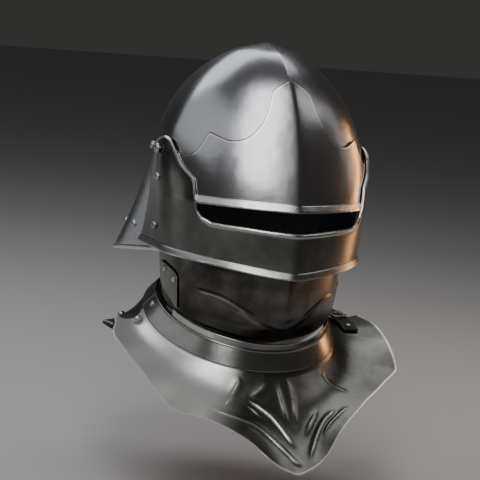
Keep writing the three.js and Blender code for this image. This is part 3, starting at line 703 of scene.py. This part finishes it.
faces = two_faces(bevor_share, bevor_azimuth, bevor_percent, bevor_lift, bevor_lift - BEVOR_WALL)
faces = [with_foot(face, drop) for face, drop in zip(faces, (0, -BEVOR_WALL))]
bevor_down = np.broadcast_to(np.concatenate([[1, 1, 1], 1 - bevor_percent[0] / 100]), faces[0].shape[:2])
# The bevor carries a painted shade towards the throat
bevor_steel = polished_steel("bevor steel", (0.085, 0.08, 0.068), (0.048, 0.044, 0.038), 0.24, 0.3, "throat_painted_shade")
bevor = plate("bevor_plate", *faces, [bevor_steel, forge_black], {"down": bevor_down})
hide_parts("bevor")
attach(bevor, "helmet")

# ---- Hinge plates
# A small plate on each cheek that holds the bevor to the collar, with a
# rounded upper corner and two rivets.
HINGE_FROM = 78.0
HINGE_TO = 103.0
HINGE_TOP = 49.0
hinge_steel = polished_steel("hinge steel", (0.24, 0.235, 0.22), (0.13, 0.125, 0.115), 0.27, 0.3)
hinge_share = np.linspace(0, 1, 34)
hinge_corner = 7 * np.maximum(0, 1 - hinge_share * 4) ** 2 + 2 * np.maximum(0, hinge_share * 4 - 3) ** 2
hinge_percent = (HINGE_TOP - hinge_corner)[:, None] * np.linspace(0, 1, 30)[None, :]
hinge_azimuth = np.radians(mix(HINGE_FROM, HINGE_TO, hinge_share))[:, None]
for side, way in (("left", 1), ("right", -1)):
    faces = two_faces(bevor_share, hinge_azimuth, hinge_percent, SEAT + HINGE_WALL, SEAT)
    faces = [face * np.array([way, 1, 1]) for face in faces]
    hinge = plate(f"cheek_hinge_{side}", *faces, [hinge_steel, forge_black], {})
    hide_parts(f"hinge_plate_{side}")
    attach(hinge, "helmet")

# ---- Throat lame and collar
# The standing collar is a flared band in two halves that meet at the sides.
# Inside its front stands the top of a throat lame.
THROAT_RISE = 7.0
SEAM = 103.0
SEAM_GAP = 0.4
COLLAR_BEAD = 1.05
SHARE_STEP = 0.05


def collar_point(azimuth, v):
    return ring_point(azimuth, COLLAR_RADIUS + COLLAR_FLARE * (1 - v), -COLLAR_HEIGHT * (1 - v))


def throat_point(azimuth, v):
    height = mix(-COLLAR_HEIGHT * 0.4, THROAT_RISE, v)
    return ring_point(azimuth, COLLAR_RADIUS - COLLAR_WALL - SEAT, height)


def band(name, node, surface, first, last, count, bead=0.0):
    azimuth = np.radians(np.linspace(first, last, count))[:, None]
    v = np.concatenate([[0, 0.03], np.linspace(0.06, 0.94, 18), [0.97, 1]])[None, :]
    faces = two_faces(surface, azimuth, v, 0, -COLLAR_WALL, SHARE_STEP)
    piece = plate(name, *faces, [collar_steel, forge_black], {}, top=bead, lip_points=7)
    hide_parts(node)
    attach(piece, "helmet")


collar_steel = polished_steel("collar steel", (0.50, 0.49, 0.47), (0.33, 0.325, 0.31), 0.25, 0.02)
band("throat_lame_plate", "throat_lame", throat_point, -74, 74, 150)
band("collar_front_half", "collar_front", collar_point, -SEAM, SEAM, 200, COLLAR_BEAD)
back_seam = SEAM + SEAM_GAP
band("collar_back_half", "collar_back", collar_point, back_seam, 360 - back_seam, 150, COLLAR_BEAD)

# ---- Gorget plates
# Flared from under the collar over the chest and upper back. The front one
# ends in a point below and has a fan of flutes worked up from behind.
GORGET_WALL = 1.6
GORGET_FLARE = 77.0
GORGET_SAG = 4.9
FLARE_DROP = 3.2
FLARE_START = COLLAR_RADIUS + COLLAR_FLARE
# For the flutes: how far the plate spreads and reaches from the collar to its edge
FLUTE_SPREAD = 57.0
FLUTE_REACH = 80.0
# Azimuth in degrees from the wearer's right to the left, distance out from the
# collar as a share of the flare, and the slope below the level in degrees
FRONT_OUTLINE = [
    (-102.5, 0.36, 18), (-94, 0.38, 11), (-86, 0.515, 9), (-72, 0.54, 14), (-61.5, 0.58, 21),
    (-52, 0.645, 29), (-44.5, 0.715, 34), (-40, 0.66, 37), (-35, 0.605, 39), (-27.5, 0.59, 41.5),
    (-19, 0.635, 43.5), (-13, 0.72, 44), (-8, 0.865, 45), (0, 0.97, 45), (9.5, 0.87, 44.5),
    (20.5, 0.655, 43), (30, 0.565, 41), (45, 0.54, 35), (59, 0.655, 24), (66, 0.79, 16),
    (72.5, 0.745, 8.5), (79.5, 0.7, 2.5), (92, 0.67, -1.5), (102.5, 0.62, 2),
]
BACK_OUTLINE = [
    (103.5, 0.62, 3), (115, 0.6, 18), (132, 0.62, 41), (150, 0.68, 52), (180, 0.74, 57), (210, 0.68, 52),
    (228, 0.62, 41), (245, 0.5, 30), (256.5, 0.385, 24),
]
# The front outline is eased everywhere but here: azimuth, reach in degrees, strength
FLARE_CORNERS = [(-44.5, 6, 1), (66, 6, 1), (0, 4, 0.8)]
# Each flute: its half width, its height, and the line that it follows (azimuth
# in degrees and share of the way out)
FLUTES = [
    (2.2, 1.5, [(-17.5, 0.06), (-18.5, 0.14), (-20, 0.22), (-23.5, 0.44), (-25.5, 0.6)]),
    (2.0, 1.5, [(-31, 0.77), (-20, 0.72), (-9, 0.62), (-3, 0.72), (1, 0.88), (3, 0.97)]),
    (1.8, 1.4, [(-14.5, 0.33), (-5, 0.37), (0, 0.5), (3.5, 0.76)]),
    (1.6, 1.0, [(-16, 0.4), (-10, 0.45), (-5.5, 0.5)]),
    (2.6, 1.0, [(-1, 0.02), (-6, 0.14), (-13.5, 0.29)]),
    (1.8, 0.9, [(3, 0.02), (3, 0.16), (3.2, 0.34), (4, 0.5)]),
    (2.0, 1.0, [(8.5, 0.02), (10.5, 0.18), (8.5, 0.38), (7.5, 0.53)]),
    (2.6, 1.1, [(22, 0.56), (14, 0.58), (7.5, 0.69)]),
    (2.4, 1.3, [(30, 0.75), (21, 0.7), (12, 0.75), (5, 0.92)]),
    (2.2, 1.0, [(36.5, 0.85), (25, 0.81), (15, 0.8)]),
    (2.2, 0.8, [(36.8, 0.04), (37.2, 0.32), (44, 0.72)]),
]


def flare_point(outline, azimuth, v):
    start = ring_point(azimuth, FLARE_START, -COLLAR_HEIGHT - FLARE_DROP)
    degrees = np.degrees(azimuth)
    corners = sum(share * np.exp(-(((degrees - at) / width) ** 2)) for at, width, share in FLARE_CORNERS)
    reach = GORGET_FLARE * edge_curve([row[:2] for row in outline], degrees, 3.2 - 2.5 * corners)
    slope = np.radians(edge_curve([row[::2] for row in outline], degrees, 2.5))
    out = FLARE_START + reach
    end_height = start[..., 2] - reach * np.tan(slope)
    end = point(out * np.sin(azimuth), COLLAR_SETBACK - out * np.cos(azimuth), end_height)
    sag = GORGET_SAG * np.sin(math.pi * np.clip(v, 0, 1))
    droop = point(-np.sin(azimuth) * sag, np.cos(azimuth) * sag, -sag)
    return mix(start, end, np.asarray(v)[..., None]) + droop


def flare_face(outline):
    return lambda azimuth, percent: flare_point(outline, azimuth, 1 - percent / 100)


def flute_height(degrees, v):
    """How far the flutes stand out at an azimuth and a share of the way out."""

    def flat(at, share):
        return np.radians(at) * (FLARE_START + FLUTE_SPREAD * share), share * FLUTE_REACH + 0 * at

    along, across = flat(degrees, v)
    height = np.zeros(along.shape)
    for width, rise, line in FLUTES:
        line = np.array(line)
        # The line's corners are cut twice, which leaves a smooth curve
        for _cut in range(2):
            near, far = mix(line[:-1], line[1:], 0.25), mix(line[:-1], line[1:], 0.75)
            corners = np.stack([near, far], axis=1).reshape(-1, 2)[1:-1]
            line = np.concatenate([line[:1], corners, line[-1:]])
        points = np.stack(flat(*line.T), axis=1)
        away = distance_to(points, along, across)
        from_ends = np.min([np.hypot(along - x, across - y) for x, y in points[[0, -1]]], axis=0)
        crest = rise * np.exp(-((away / (width * 1.2)) ** 1.25))
        height = np.maximum(height, crest * ease(-2, 14, from_ends) * (1 - ease(0.88, 0.98, v)))
    return height


def flare_plate(name, node, outline, degrees, first, last, rows, tucked=True, under=0.0, fluted=False):
    """A plate of the flare between two percentages of the way in from its outer edge."""
    azimuth = np.radians(degrees)[:, None]
    percent = np.concatenate([[0, 0.4, 1.0], np.linspace(1.8, 100, rows)]) / 100
    percent = mix(first, last, percent)[None, :]
    face = flare_face(outline)
    rise = np.zeros((len(degrees), percent.shape[1]))
    if fluted:
        rise = flute_height(degrees[:, None], 1 - percent / 100)
    faces = two_faces(face, azimuth, percent, under + rise, under + rise - GORGET_WALL)
    width = np.linalg.norm(face(azimuth, 0 * azimuth) - face(azimuth, 0 * azimuth + 100), axis=-1)
    edge = metres(width * (percent - first) / 100)
    if tucked:
        # The upper rows go on up inside the collar
        inset = under - (COLLAR_WALL + SEAT * 2)
        up = np.array([0.1, 0.22, 0.35])[None, :]
        hidden = two_faces(collar_point, azimuth, up, inset, inset - GORGET_WALL, SHARE_STEP)
        faces = [np.concatenate(pair, axis=1) for pair in zip(faces, hidden)]
        edge = np.pad(edge, ((0, 0), (0, 3)), "edge")
    crest = np.pad(rise / 1.3, ((0, 0), (0, edge.shape[1] - rise.shape[1])))
    marks = {"edge": edge, "along": np.broadcast_to(azimuth * 0.14, edge.shape), "crest": crest}
    piece = plate(name, *faces, [gorget_steel, forge_black], marks)
    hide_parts(node)
    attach(piece, "helmet")


# Its "shoulder" detail is a painted highlight on the wearer's right shoulder
gorget_steel = polished_steel(
    "gorget steel", (0.21, 0.208, 0.192), (0.12, 0.12, 0.108), 0.28, 0.4, "shoulder", "flutes",
)
# Columns are closest over the flutes
front_degrees = np.concatenate([
    np.linspace(-102.5, -42.4, 84), np.linspace(-42, 42, 220), np.linspace(42.4, 102.5, 84),
])
back_degrees = np.linspace(103.5, 256.5, 150)
LAP_FROM, LAP = 29.0, 10.0
FLARE_TOP = 96.0
flare_plate(
    "gorget_front_plate", "gorget_front", FRONT_OUTLINE, front_degrees, 0, FLARE_TOP, 110,
    fluted=True,
)
flare_plate("gorget_back_plate", "gorget_back", BACK_OUTLINE, back_degrees, LAP_FROM, FLARE_TOP, 40)
flare_plate(
    "back_lame_plate", "back_lame", BACK_OUTLINE, back_degrees, 0, LAP_FROM + LAP, 30,
    tucked=False, under=-(GORGET_WALL + SEAT),
)

# ---- Strap and buckle
# A leather strap closes the gorget at the left shoulder. It is cut from black
# cowhide, worn brown along its edges and held by a rivet at each end. The
# buckle is a bent steel frame with a straight tongue.
STRAP_WALL = 2.2
STRAP_WIDTH = 14.0
STRAP_FROM = 88.0
STRAP_TO = 119.0
STRAP_MIDDLE = 46.0
STRAP_RISE = 2.4
STRAP_CROWN = 0.35
STRAP_TOP = STRAP_WALL + SEAT * 2
BUCKLE_BAR = 2.0
BUCKLE_AT = 101.5
BUCKLE_LENGTH = STRAP_WIDTH * 1.25
BUCKLE_WIDTH = STRAP_WIDTH + BUCKLE_BAR * 2
BUCKLE_RISE = STRAP_TOP + PLATE_FIT * 0.5
TONGUE_RADIUS = BUCKLE_BAR * 0.4
front_face, back_face = flare_face(FRONT_OUTLINE), flare_face(BACK_OUTLINE)


def strap_face(azimuth, percent):
    share = ease(98, 108, np.degrees(azimuth))[..., None]
    return mix(front_face(azimuth, percent), back_face(azimuth, percent), share)


def strap_lift(degrees):
    return STRAP_RISE * np.sin(math.pi * np.clip((degrees - STRAP_FROM) / (STRAP_TO - STRAP_FROM), 0, 1))


def strap_spot(degrees, across, rise):
    """A point over the strap's middle line: its azimuth, millimetres across and height."""
    azimuth, across = np.broadcast_arrays(np.radians(degrees), across)
    none = 0 * azimuth
    length = np.linalg.norm(strap_face(azimuth, none) - strap_face(azimuth, none + 100), axis=-1)
    percent = STRAP_MIDDLE + across / length * 100
    return lifted(strap_face, azimuth, percent, rise + strap_lift(np.degrees(azimuth)))


def leather(name):
    """Black cowhide: grain, creases across the strap and worn brown edges."""
    f = Finish(name)
    here = f.place()
    pores = {"Vector": here, "Scale": 900.0}
    cells = f.node("ShaderNodeTexVoronoi", {"feature": "DISTANCE_TO_EDGE"}, pores)
    crease = f.noise(260, 4, here, 0.6)
    worn = 1 - f.past("edge", 0.0004, 0.0022)
    colour = f.blend(f.step(crease, 0.35, 0.75), (0.014, 0.012, 0.011), (0.036, 0.030, 0.026))
    colour = f.blend(worn * 0.6, colour, (0.11, 0.072, 0.048))
    relief = f.bump(f.step(cells, 0.0, 0.12) + crease * 0.8, 0.0003, 0.7)
    return f.shade({"Base Color": colour, "Roughness": crease * 0.3 + 0.42, "Normal": relief})


strap_degrees = np.linspace(STRAP_FROM, STRAP_TO, 90)[:, None]
strap_across = np.linspace(-1, 1, 17)[None, :] * (STRAP_WIDTH / 2 - 0.5)
crown = STRAP_CROWN * (1 - (strap_across / (STRAP_WIDTH / 2)) ** 4)
strap_edge = np.broadcast_to(metres(STRAP_WIDTH / 2 - np.abs(strap_across)), (90, 17))
black_leather = leather("black leather")
rises = (STRAP_TOP + crown - 0.3, SEAT * 2 + 0 * crown)
faces = [strap_spot(strap_degrees, strap_across, rise) for rise in rises]
strap = plate("strap_band", *faces, [black_leather, black_leather], {"edge": strap_edge}, lip_points=5)
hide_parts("strap")
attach(strap, "helmet")


def bar(name, path, radius, loop=False, sides=12):
    """A round bar bent along a path of points, with rounded ends where it isn't a loop."""
    ahead, behind = np.roll(path, -1, axis=0), np.roll(path, 1, axis=0)
    if not loop:
        ahead[-1], behind[0] = path[-1], path[0]
    tangent = unit(ahead - behind)
    up = unit(path.mean(axis=0) - np.array([0, COLLAR_SETBACK, -COLLAR_DROP - 30]))
    side = unit(np.cross(tangent, up))
    over = np.cross(side, tangent)
    turns = (np.arange(sides) / sides * math.tau)[None, :, None]
    ring = path[:, None] + (side[:, None] * np.cos(turns) + over[:, None] * np.sin(turns)) * radius
    if not loop:
        caps = []
        for end, sign in ((0, -1), (-1, 1)):
            spoke, tip = ring[end] - path[end], tangent[end] * sign * radius
            caps.append([path[end] + spoke * math.cos(a) + tip * math.sin(a) for a in (0.5, 1.0, 1.4)])
        ring = np.concatenate([caps[0][::-1], ring, caps[1]])
    count = len(ring)
    faces = []
    for i in range(count if loop else count - 1):
        for j in range(sides):
            a, b = i * sides, (i + 1) % count * sides
            faces.append([a + j, a + (j + 1) % sides, b + (j + 1) % sides, b + j])
    if not loop:
        faces.append(list(range(sides)))
        faces.append(list(range((count - 1) * sides, count * sides)))
    mesh = bpy.data.meshes.new(name)
    mesh.from_pydata(((ring.reshape(-1, 3) - CROWN) * MILLIMETRE).tolist(), [], faces)
    mesh.materials.append(bright_steel)
    closed(mesh)
    return added(name, mesh)


def on_buckle(along, across, rise):
    """A point of the buckle's flat plane, which stands on the strap's middle line."""
    azimuth, percent = np.array(math.radians(BUCKLE_AT)), np.array(STRAP_MIDDLE)
    normal = outward(strap_face, azimuth, percent)
    ahead = strap_face(azimuth + 0.01, percent) - strap_face(azimuth - 0.01, percent)
    ahead = unit(ahead - normal * (ahead @ normal))
    middle = strap_face(azimuth, percent) + normal * (BUCKLE_RISE + strap_lift(BUCKLE_AT))
    return middle + point(along, across, rise) @ np.stack([ahead, np.cross(normal, ahead), normal])


def squared(x):
    return np.sign(x) * np.abs(x) ** 0.35


bright_steel = polished_steel("bright steel", (0.72, 0.71, 0.68), (0.46, 0.45, 0.43), 0.22, 0.4)
turns = np.arange(96) / 96 * math.tau
frame_path = on_buckle(
    (BUCKLE_LENGTH - BUCKLE_BAR) / 2 * squared(np.cos(turns)),
    (BUCKLE_WIDTH - BUCKLE_BAR) / 2 * squared(np.sin(turns)), BUCKLE_BAR / 2,
)
buckle = bar("buckle_frame", frame_path, BUCKLE_BAR / 2, loop=True)
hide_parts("buckle")
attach(buckle, "helmet")
reach = np.linspace(-0.5, 0.5, 20)
tongue_path = on_buckle(reach * BUCKLE_LENGTH, 0.0, BUCKLE_BAR * 1.4 + SEAT - 0.5 * (reach * 2) ** 6)
tongue = bar("buckle_tongue_bar", tongue_path, TONGUE_RADIUS)
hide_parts("buckle_tongue")
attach(tongue, "helmet")

# ---- Rivets and pivots
# Each is a steel pin with a domed head outside and a peened tail inside. They
# are set by hand, so each is turned and sized a little differently.
# Radius and height of the heads, and of the pivots' heads and tails
RIVET = (3.8, 3.0)
SMALL_RIVET = (3.1, 2.0)
PIVOT_HEAD = (4.8, 3.4)
PIVOT_TAIL = (4.6, 1.2)
SHANK_RADIUS = 1.4
RIVET_SHARP = 60


def rivet_head_mesh():
    """A head of radius 1 and height 1 on a short shank, to be sized at each rivet."""
    profile = [(0.0, -1.0), (0.42, -1.0), (0.42, -0.02), (0.97, -0.02), (1.0, 0.06), (0.99, 0.18)]
    profile += [(math.cos(a) * 0.98, 0.2 + 0.8 * math.sin(a)) for a in np.linspace(0.12, math.pi / 2, 9)]
    count = 24
    turns = [i / count * math.tau for i in range(count)]
    points = [(r * math.cos(turn), r * math.sin(turn), h) for r, h in profile for turn in turns]
    faces = []
    for row in range(0, (len(profile) - 1) * count, count):
        for i in range(count):
            after = (i + 1) % count
            faces.append([row + i, row + after, row + count + after, row + count + i])
    mesh = bpy.data.meshes.new("rivet head")
    mesh.from_pydata(points, [], faces)
    closed(mesh, RIVET_SHARP)
    return mesh


def rivet_tree():
    """Sets a head on each point, turned to the point's outward direction."""
    tree = bpy.data.node_groups.new("rivet setting", "GeometryNodeTree")
    asked = {"Places": "Geometry", "Head": "Object", "Finish": "Material"}
    asked.update({"Size": "Float", "Unevenness": "Float"})
    for name, kind in asked.items():
        tree.interface.new_socket(name, in_out="INPUT", socket_type=f"NodeSocket{kind}")
    tree.interface.new_socket("Rivets", in_out="OUTPUT", socket_type="NodeSocketGeometry")

    def add(kind, inputs, **settings):
        node = tree.nodes.new(kind)
        for key, value in settings.items():
            setattr(node, key, value)
        for key, value in inputs.items():
            if isinstance(value, bpy.types.NodeSocket):
                tree.links.new(value, node.inputs[key])
            else:
                node.inputs[key].default_value = value
        return node.outputs

    def vector(operation, a, b):
        return add("ShaderNodeVectorMath", {0: a, 1: b}, operation=operation)[0]

    def mark(name):
        return add("GeometryNodeInputNamedAttribute", {"Name": name}, data_type="FLOAT_VECTOR")[0]

    start = add("NodeGroupInput", {})
    least = vector("SUBTRACT", (1, 1, 1), start["Unevenness"])
    most = vector("ADD", (1, 1, 1), start["Unevenness"])
    chance = add("FunctionNodeRandomValue", {0: least, 1: most, "Seed": 7}, data_type="FLOAT_VECTOR")[0]
    scaled = add("ShaderNodeVectorMath", {0: mark("form"), "Scale": start["Size"]}, operation="SCALE")[0]
    setting = add("GeometryNodeInstanceOnPoints", {
        "Points": start["Places"],
        "Instance": add("GeometryNodeObjectInfo", {"Object": start["Head"]})["Geometry"],
        "Rotation": add("FunctionNodeAlignRotationToVector", {"Vector": mark("out")}, axis="Z")[0],
        "Scale": vector("MULTIPLY", scaled, chance),
    })
    real = add("GeometryNodeRealizeInstances", {0: setting[0]})
    finished = add("GeometryNodeSetMaterial", {"Geometry": real[0], "Material": start["Finish"]})
    add("NodeGroupOutput", {0: finished[0]})
    return tree


def rivet_ends(surface, degrees, height, out, grip, head, dome, shank=SHANK_RADIUS, lift=0.0):
    """The head of a rivet and its tail: place, direction, radius and height of each."""
    azimuth, height = np.radians(float(degrees)), np.array(float(height))
    direction = outward(surface, azimuth, height)
    at = surface(azimuth, height) + direction * out
    return [
        (at + direction * (0.1 + lift), direction, head, dome),
        (at - direction * (grip + 0.35), -direction, shank * 1.75, 1.0),
    ]


def mirrored(ends):
    flip = np.array([-1, 1, 1])
    return [(at * flip, direction * flip, radius, height) for at, direction, radius, height in ends]


def set_rivets(name, ends, nodes, body, finish):
    places = bpy.data.meshes.new(name)
    places.from_pydata([((at - CROWN) * MILLIMETRE).tolist() for at, *rest in ends], [], [])
    for key, values in (
        ("out", [direction for at, direction, radius, height in ends]),
        ("form", [(radius, radius, height) for at, direction, radius, height in ends]),
    ):
        attribute = places.attributes.new(key, "FLOAT_VECTOR", "POINT")
        attribute.data.foreach_set("vector", np.array(values, np.float32).ravel())
    piece = added(name, places)
    setting = piece.modifiers.new("setting", "NODES")
    setting.node_group = rivet_setting
    asked = {"Head": rivet_head, "Finish": finish, "Size": MILLIMETRE, "Unevenness": 0.05}
    for item in rivet_setting.interface.items_tree:
        if item.name in asked:
            setting[item.identifier] = asked[item.name]
    graph = bpy.context.evaluated_depsgraph_get()
    mesh = bpy.data.meshes.new_from_object(piece.evaluated_get(graph), depsgraph=graph)
    piece.modifiers.clear()
    piece.data = mesh
    smoothed(mesh, RIVET_SHARP)
    if nodes:
        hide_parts(*nodes)
    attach(piece, body)


rivet_steel = polished_steel("rivet steel", (0.66, 0.64, 0.61), (0.36, 0.34, 0.32), 0.27, 0.7)
rivet_head = added("rivet head", rivet_head_mesh())
rivet_setting = rivet_tree()
hinge_out = SEAT + HINGE_WALL
bevor_grip = BEVOR_WALL + hinge_out
outwards = np.array([1.0, 0, 0])
pivot_at = skull_point(np.array(math.pi / 2), np.array(0.0)) + outwards * (VISOR_STANDOFF + 0.2)
paired = {
    "tail_rivet_front": rivet_ends(skull_point, 113.5, -82, 0, SKULL_WALL, *RIVET),
    "tail_rivet_back": rivet_ends(skull_point, 132, -88, 0, SKULL_WALL, *RIVET),
    "temple_rivet": rivet_ends(skull_point, 114, -3, 0, SKULL_WALL, *RIVET),
    "hinge_rivet_front": rivet_ends(bevor_share, 82.5, 38, hinge_out, bevor_grip, *SMALL_RIVET),
    "hinge_rivet_back": rivet_ends(bevor_share, 96.5, 41, hinge_out, bevor_grip, *SMALL_RIVET),
    "bevor_rivet": rivet_ends(bevor_share, 108, 73, 0, BEVOR_WALL, 2.4, 1.6, 1.0),
    "visor_pivot": [
        (pivot_at + outwards * 1.4, outwards, *PIVOT_HEAD),
        (pivot_at - outwards * (VISOR_STANDOFF + SKULL_WALL + 0.8), -outwards, *PIVOT_TAIL),
    ],
}
fixed = [end for ends in paired.values() for end in ends + mirrored(ends)]
for degrees in (127, 233):
    fixed += rivet_ends(back_face, degrees, 34, 0, GORGET_WALL * 2 + SEAT, *RIVET)
fixed += rivet_ends(collar_point, -96, 0.64, 0, COLLAR_WALL, *SMALL_RIVET)
fixed += rivet_ends(front_face, -96, 68, 0, GORGET_WALL, 3.4, 2.2, lift=3.4)
for degrees in (STRAP_FROM + 3, STRAP_TO - 3):
    out = STRAP_TOP + strap_lift(degrees)
    fixed += rivet_ends(strap_face, degrees, STRAP_MIDDLE, out, out + GORGET_WALL, 2.8, 1.6)
fixed_nodes = [f"{name}_{side}" for name in paired for side in ("left", "right")]
fixed_nodes += ["lame_rivet_left", "lame_rivet_right", "collar_rivet", "shoulder_rivet"]
fixed_nodes += ["strap_rivet_front", "strap_rivet_back"]
set_rivets("helmet_rivet_heads", fixed[::2], fixed_nodes, "helmet", rivet_steel)
set_rivets("helmet_rivet_tails", fixed[1::2], [], "helmet", forge_black)
arm_rivets = {
    "visor_rivet_upper": rivet_ends(skull_point, 90, -26, VISOR_STANDOFF, VISOR_WALL, *RIVET),
    "visor_rivet_lower": rivet_ends(skull_point, 93.5, -73, VISOR_STANDOFF, VISOR_WALL, *RIVET),
}
moving = [end for ends in arm_rivets.values() for end in ends + mirrored(ends)]
moving_nodes = [f"{name}_{side}" for name in arm_rivets for side in ("left", "right")]
set_rivets("visor_rivet_heads", moving[::2], moving_nodes, "visor", rivet_steel)
set_rivets("visor_rivet_tails", moving[1::2], [], "visor", forge_black)
bpy.data.objects.remove(rivet_head)
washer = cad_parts["shoulder_washer"]
washer.data.materials.clear()
washer.data.materials.append(rivet_steel)

# ---- Floor, light and camera
# A plain pale floor under the object and soft boxes round it.
FLOOR_HEIGHT = -0.43
FLOOR_HALF = 6
floor_mesh = bpy.data.meshes.new("floor")
low, high = -FLOOR_HALF, FLOOR_HALF
corners = [(x, y, FLOOR_HEIGHT) for x, y in ((low, low), (high, low), (high, high), (low, high))]
floor_mesh.from_pydata(corners, [], [[0, 1, 2, 3]])
floor = added("floor", floor_mesh)
pale = Finish("pale floor")
floor_mesh.materials.append(pale.shade({"Base Color": (0.55, 0.55, 0.55, 1), "Roughness": 0.8}))

world = bpy.data.worlds.new("studio")
bpy.context.scene.world = world
world.use_nodes = True
world.node_tree.nodes["Background"].inputs["Color"].default_value = (0.036, 0.0355, 0.034, 1)
world.node_tree.nodes["Background"].inputs["Strength"].default_value = 1.0

LOOK_AT = Vector((0.0, 0.0, -0.18))


def soft_box(name, azimuth, elevation, distance, width, height, power, colour=(1, 1, 1)):
    """A softbox at an azimuth from the face (positive to the wearer's left)."""
    a, e = math.radians(azimuth), math.radians(elevation)
    way = Vector((math.sin(a) * math.cos(e), -math.cos(a) * math.cos(e), math.sin(e)))
    place = LOOK_AT + way * distance
    light = bpy.data.lights.new(name, "AREA")
    light.shape = "RECTANGLE"
    light.size, light.size_y = width, height
    light.energy = power
    light.color = colour
    aim = (place - LOOK_AT).to_track_quat("Z", "Y").to_matrix().to_4x4()
    added(name, light).matrix_world = Matrix.Translation(place) @ aim


DAYLIGHT, LAMPLIGHT = (0.95, 0.97, 1.0), (1.0, 0.48, 0.19)
soft_box("front left", -27, 42, 1.5, 0.42, 1.65, 10)
soft_box("left", -95, 38, 1.7, 2.6, 1.2, 6.0, DAYLIGHT)
soft_box("low left", -100, -6, 1.5, 0.6, 0.3, 0.45, DAYLIGHT)
soft_box("back left", -155, -3, 1.5, 0.6, 0.34, 0.2, DAYLIGHT)
soft_box("behind left", -162, 55, 1.5, 1.2, 0.9, 6, DAYLIGHT)
soft_box("behind right", 128, 63, 1.5, 0.8, 0.8, 3)
soft_box("front right", 80, 40, 1.5, 0.35, 0.4, 0.5)
soft_box("grey strip", 92, 20, 1.5, 0.12, 0.8, 0.25)
soft_box("warm strip", 104, 4, 1.3, 0.16, 0.7, 2.6, LAMPLIGHT)

# The photo's camera, worked out from pairs of matching points on the helmet
CAMERA_TURN, CAMERA_RISE, CAMERA_ROLL = math.radians(23), math.radians(8), math.radians(5.6)
CAMERA_DISTANCE = 2.2
HALF_VIEW = 0.22857
AIM_LEFT, AIM_DOWN = 0.016, 0.0835
ahead = Vector((math.sin(CAMERA_TURN), math.cos(CAMERA_TURN), 0))
right = Vector((math.cos(CAMERA_TURN), -math.sin(CAMERA_TURN), 0))
overhead = Vector((0, 0, 1))
back = overhead * math.sin(CAMERA_RISE) - ahead * math.cos(CAMERA_RISE)
upward = overhead * math.cos(CAMERA_RISE) + ahead * math.sin(CAMERA_RISE)
# It looks a little left of the middle between the pivots and below it
target = -right * AIM_LEFT - upward * AIM_DOWN - Vector(CROWN * MILLIMETRE)
camera_data = bpy.data.cameras.new("camera")
camera_data.sensor_fit = "HORIZONTAL"
camera_data.angle = 2 * math.atan(HALF_VIEW / CAMERA_DISTANCE)
camera = added("camera", camera_data)
level = right * math.cos(CAMERA_ROLL) + upward * math.sin(CAMERA_ROLL)
rise = upward * math.cos(CAMERA_ROLL) - right * math.sin(CAMERA_ROLL)
axes = Matrix((level, rise, back)).transposed().to_4x4()
camera.matrix_world = Matrix.Translation(target + back * CAMERA_DISTANCE) @ axes
bpy.context.scene.camera = camera
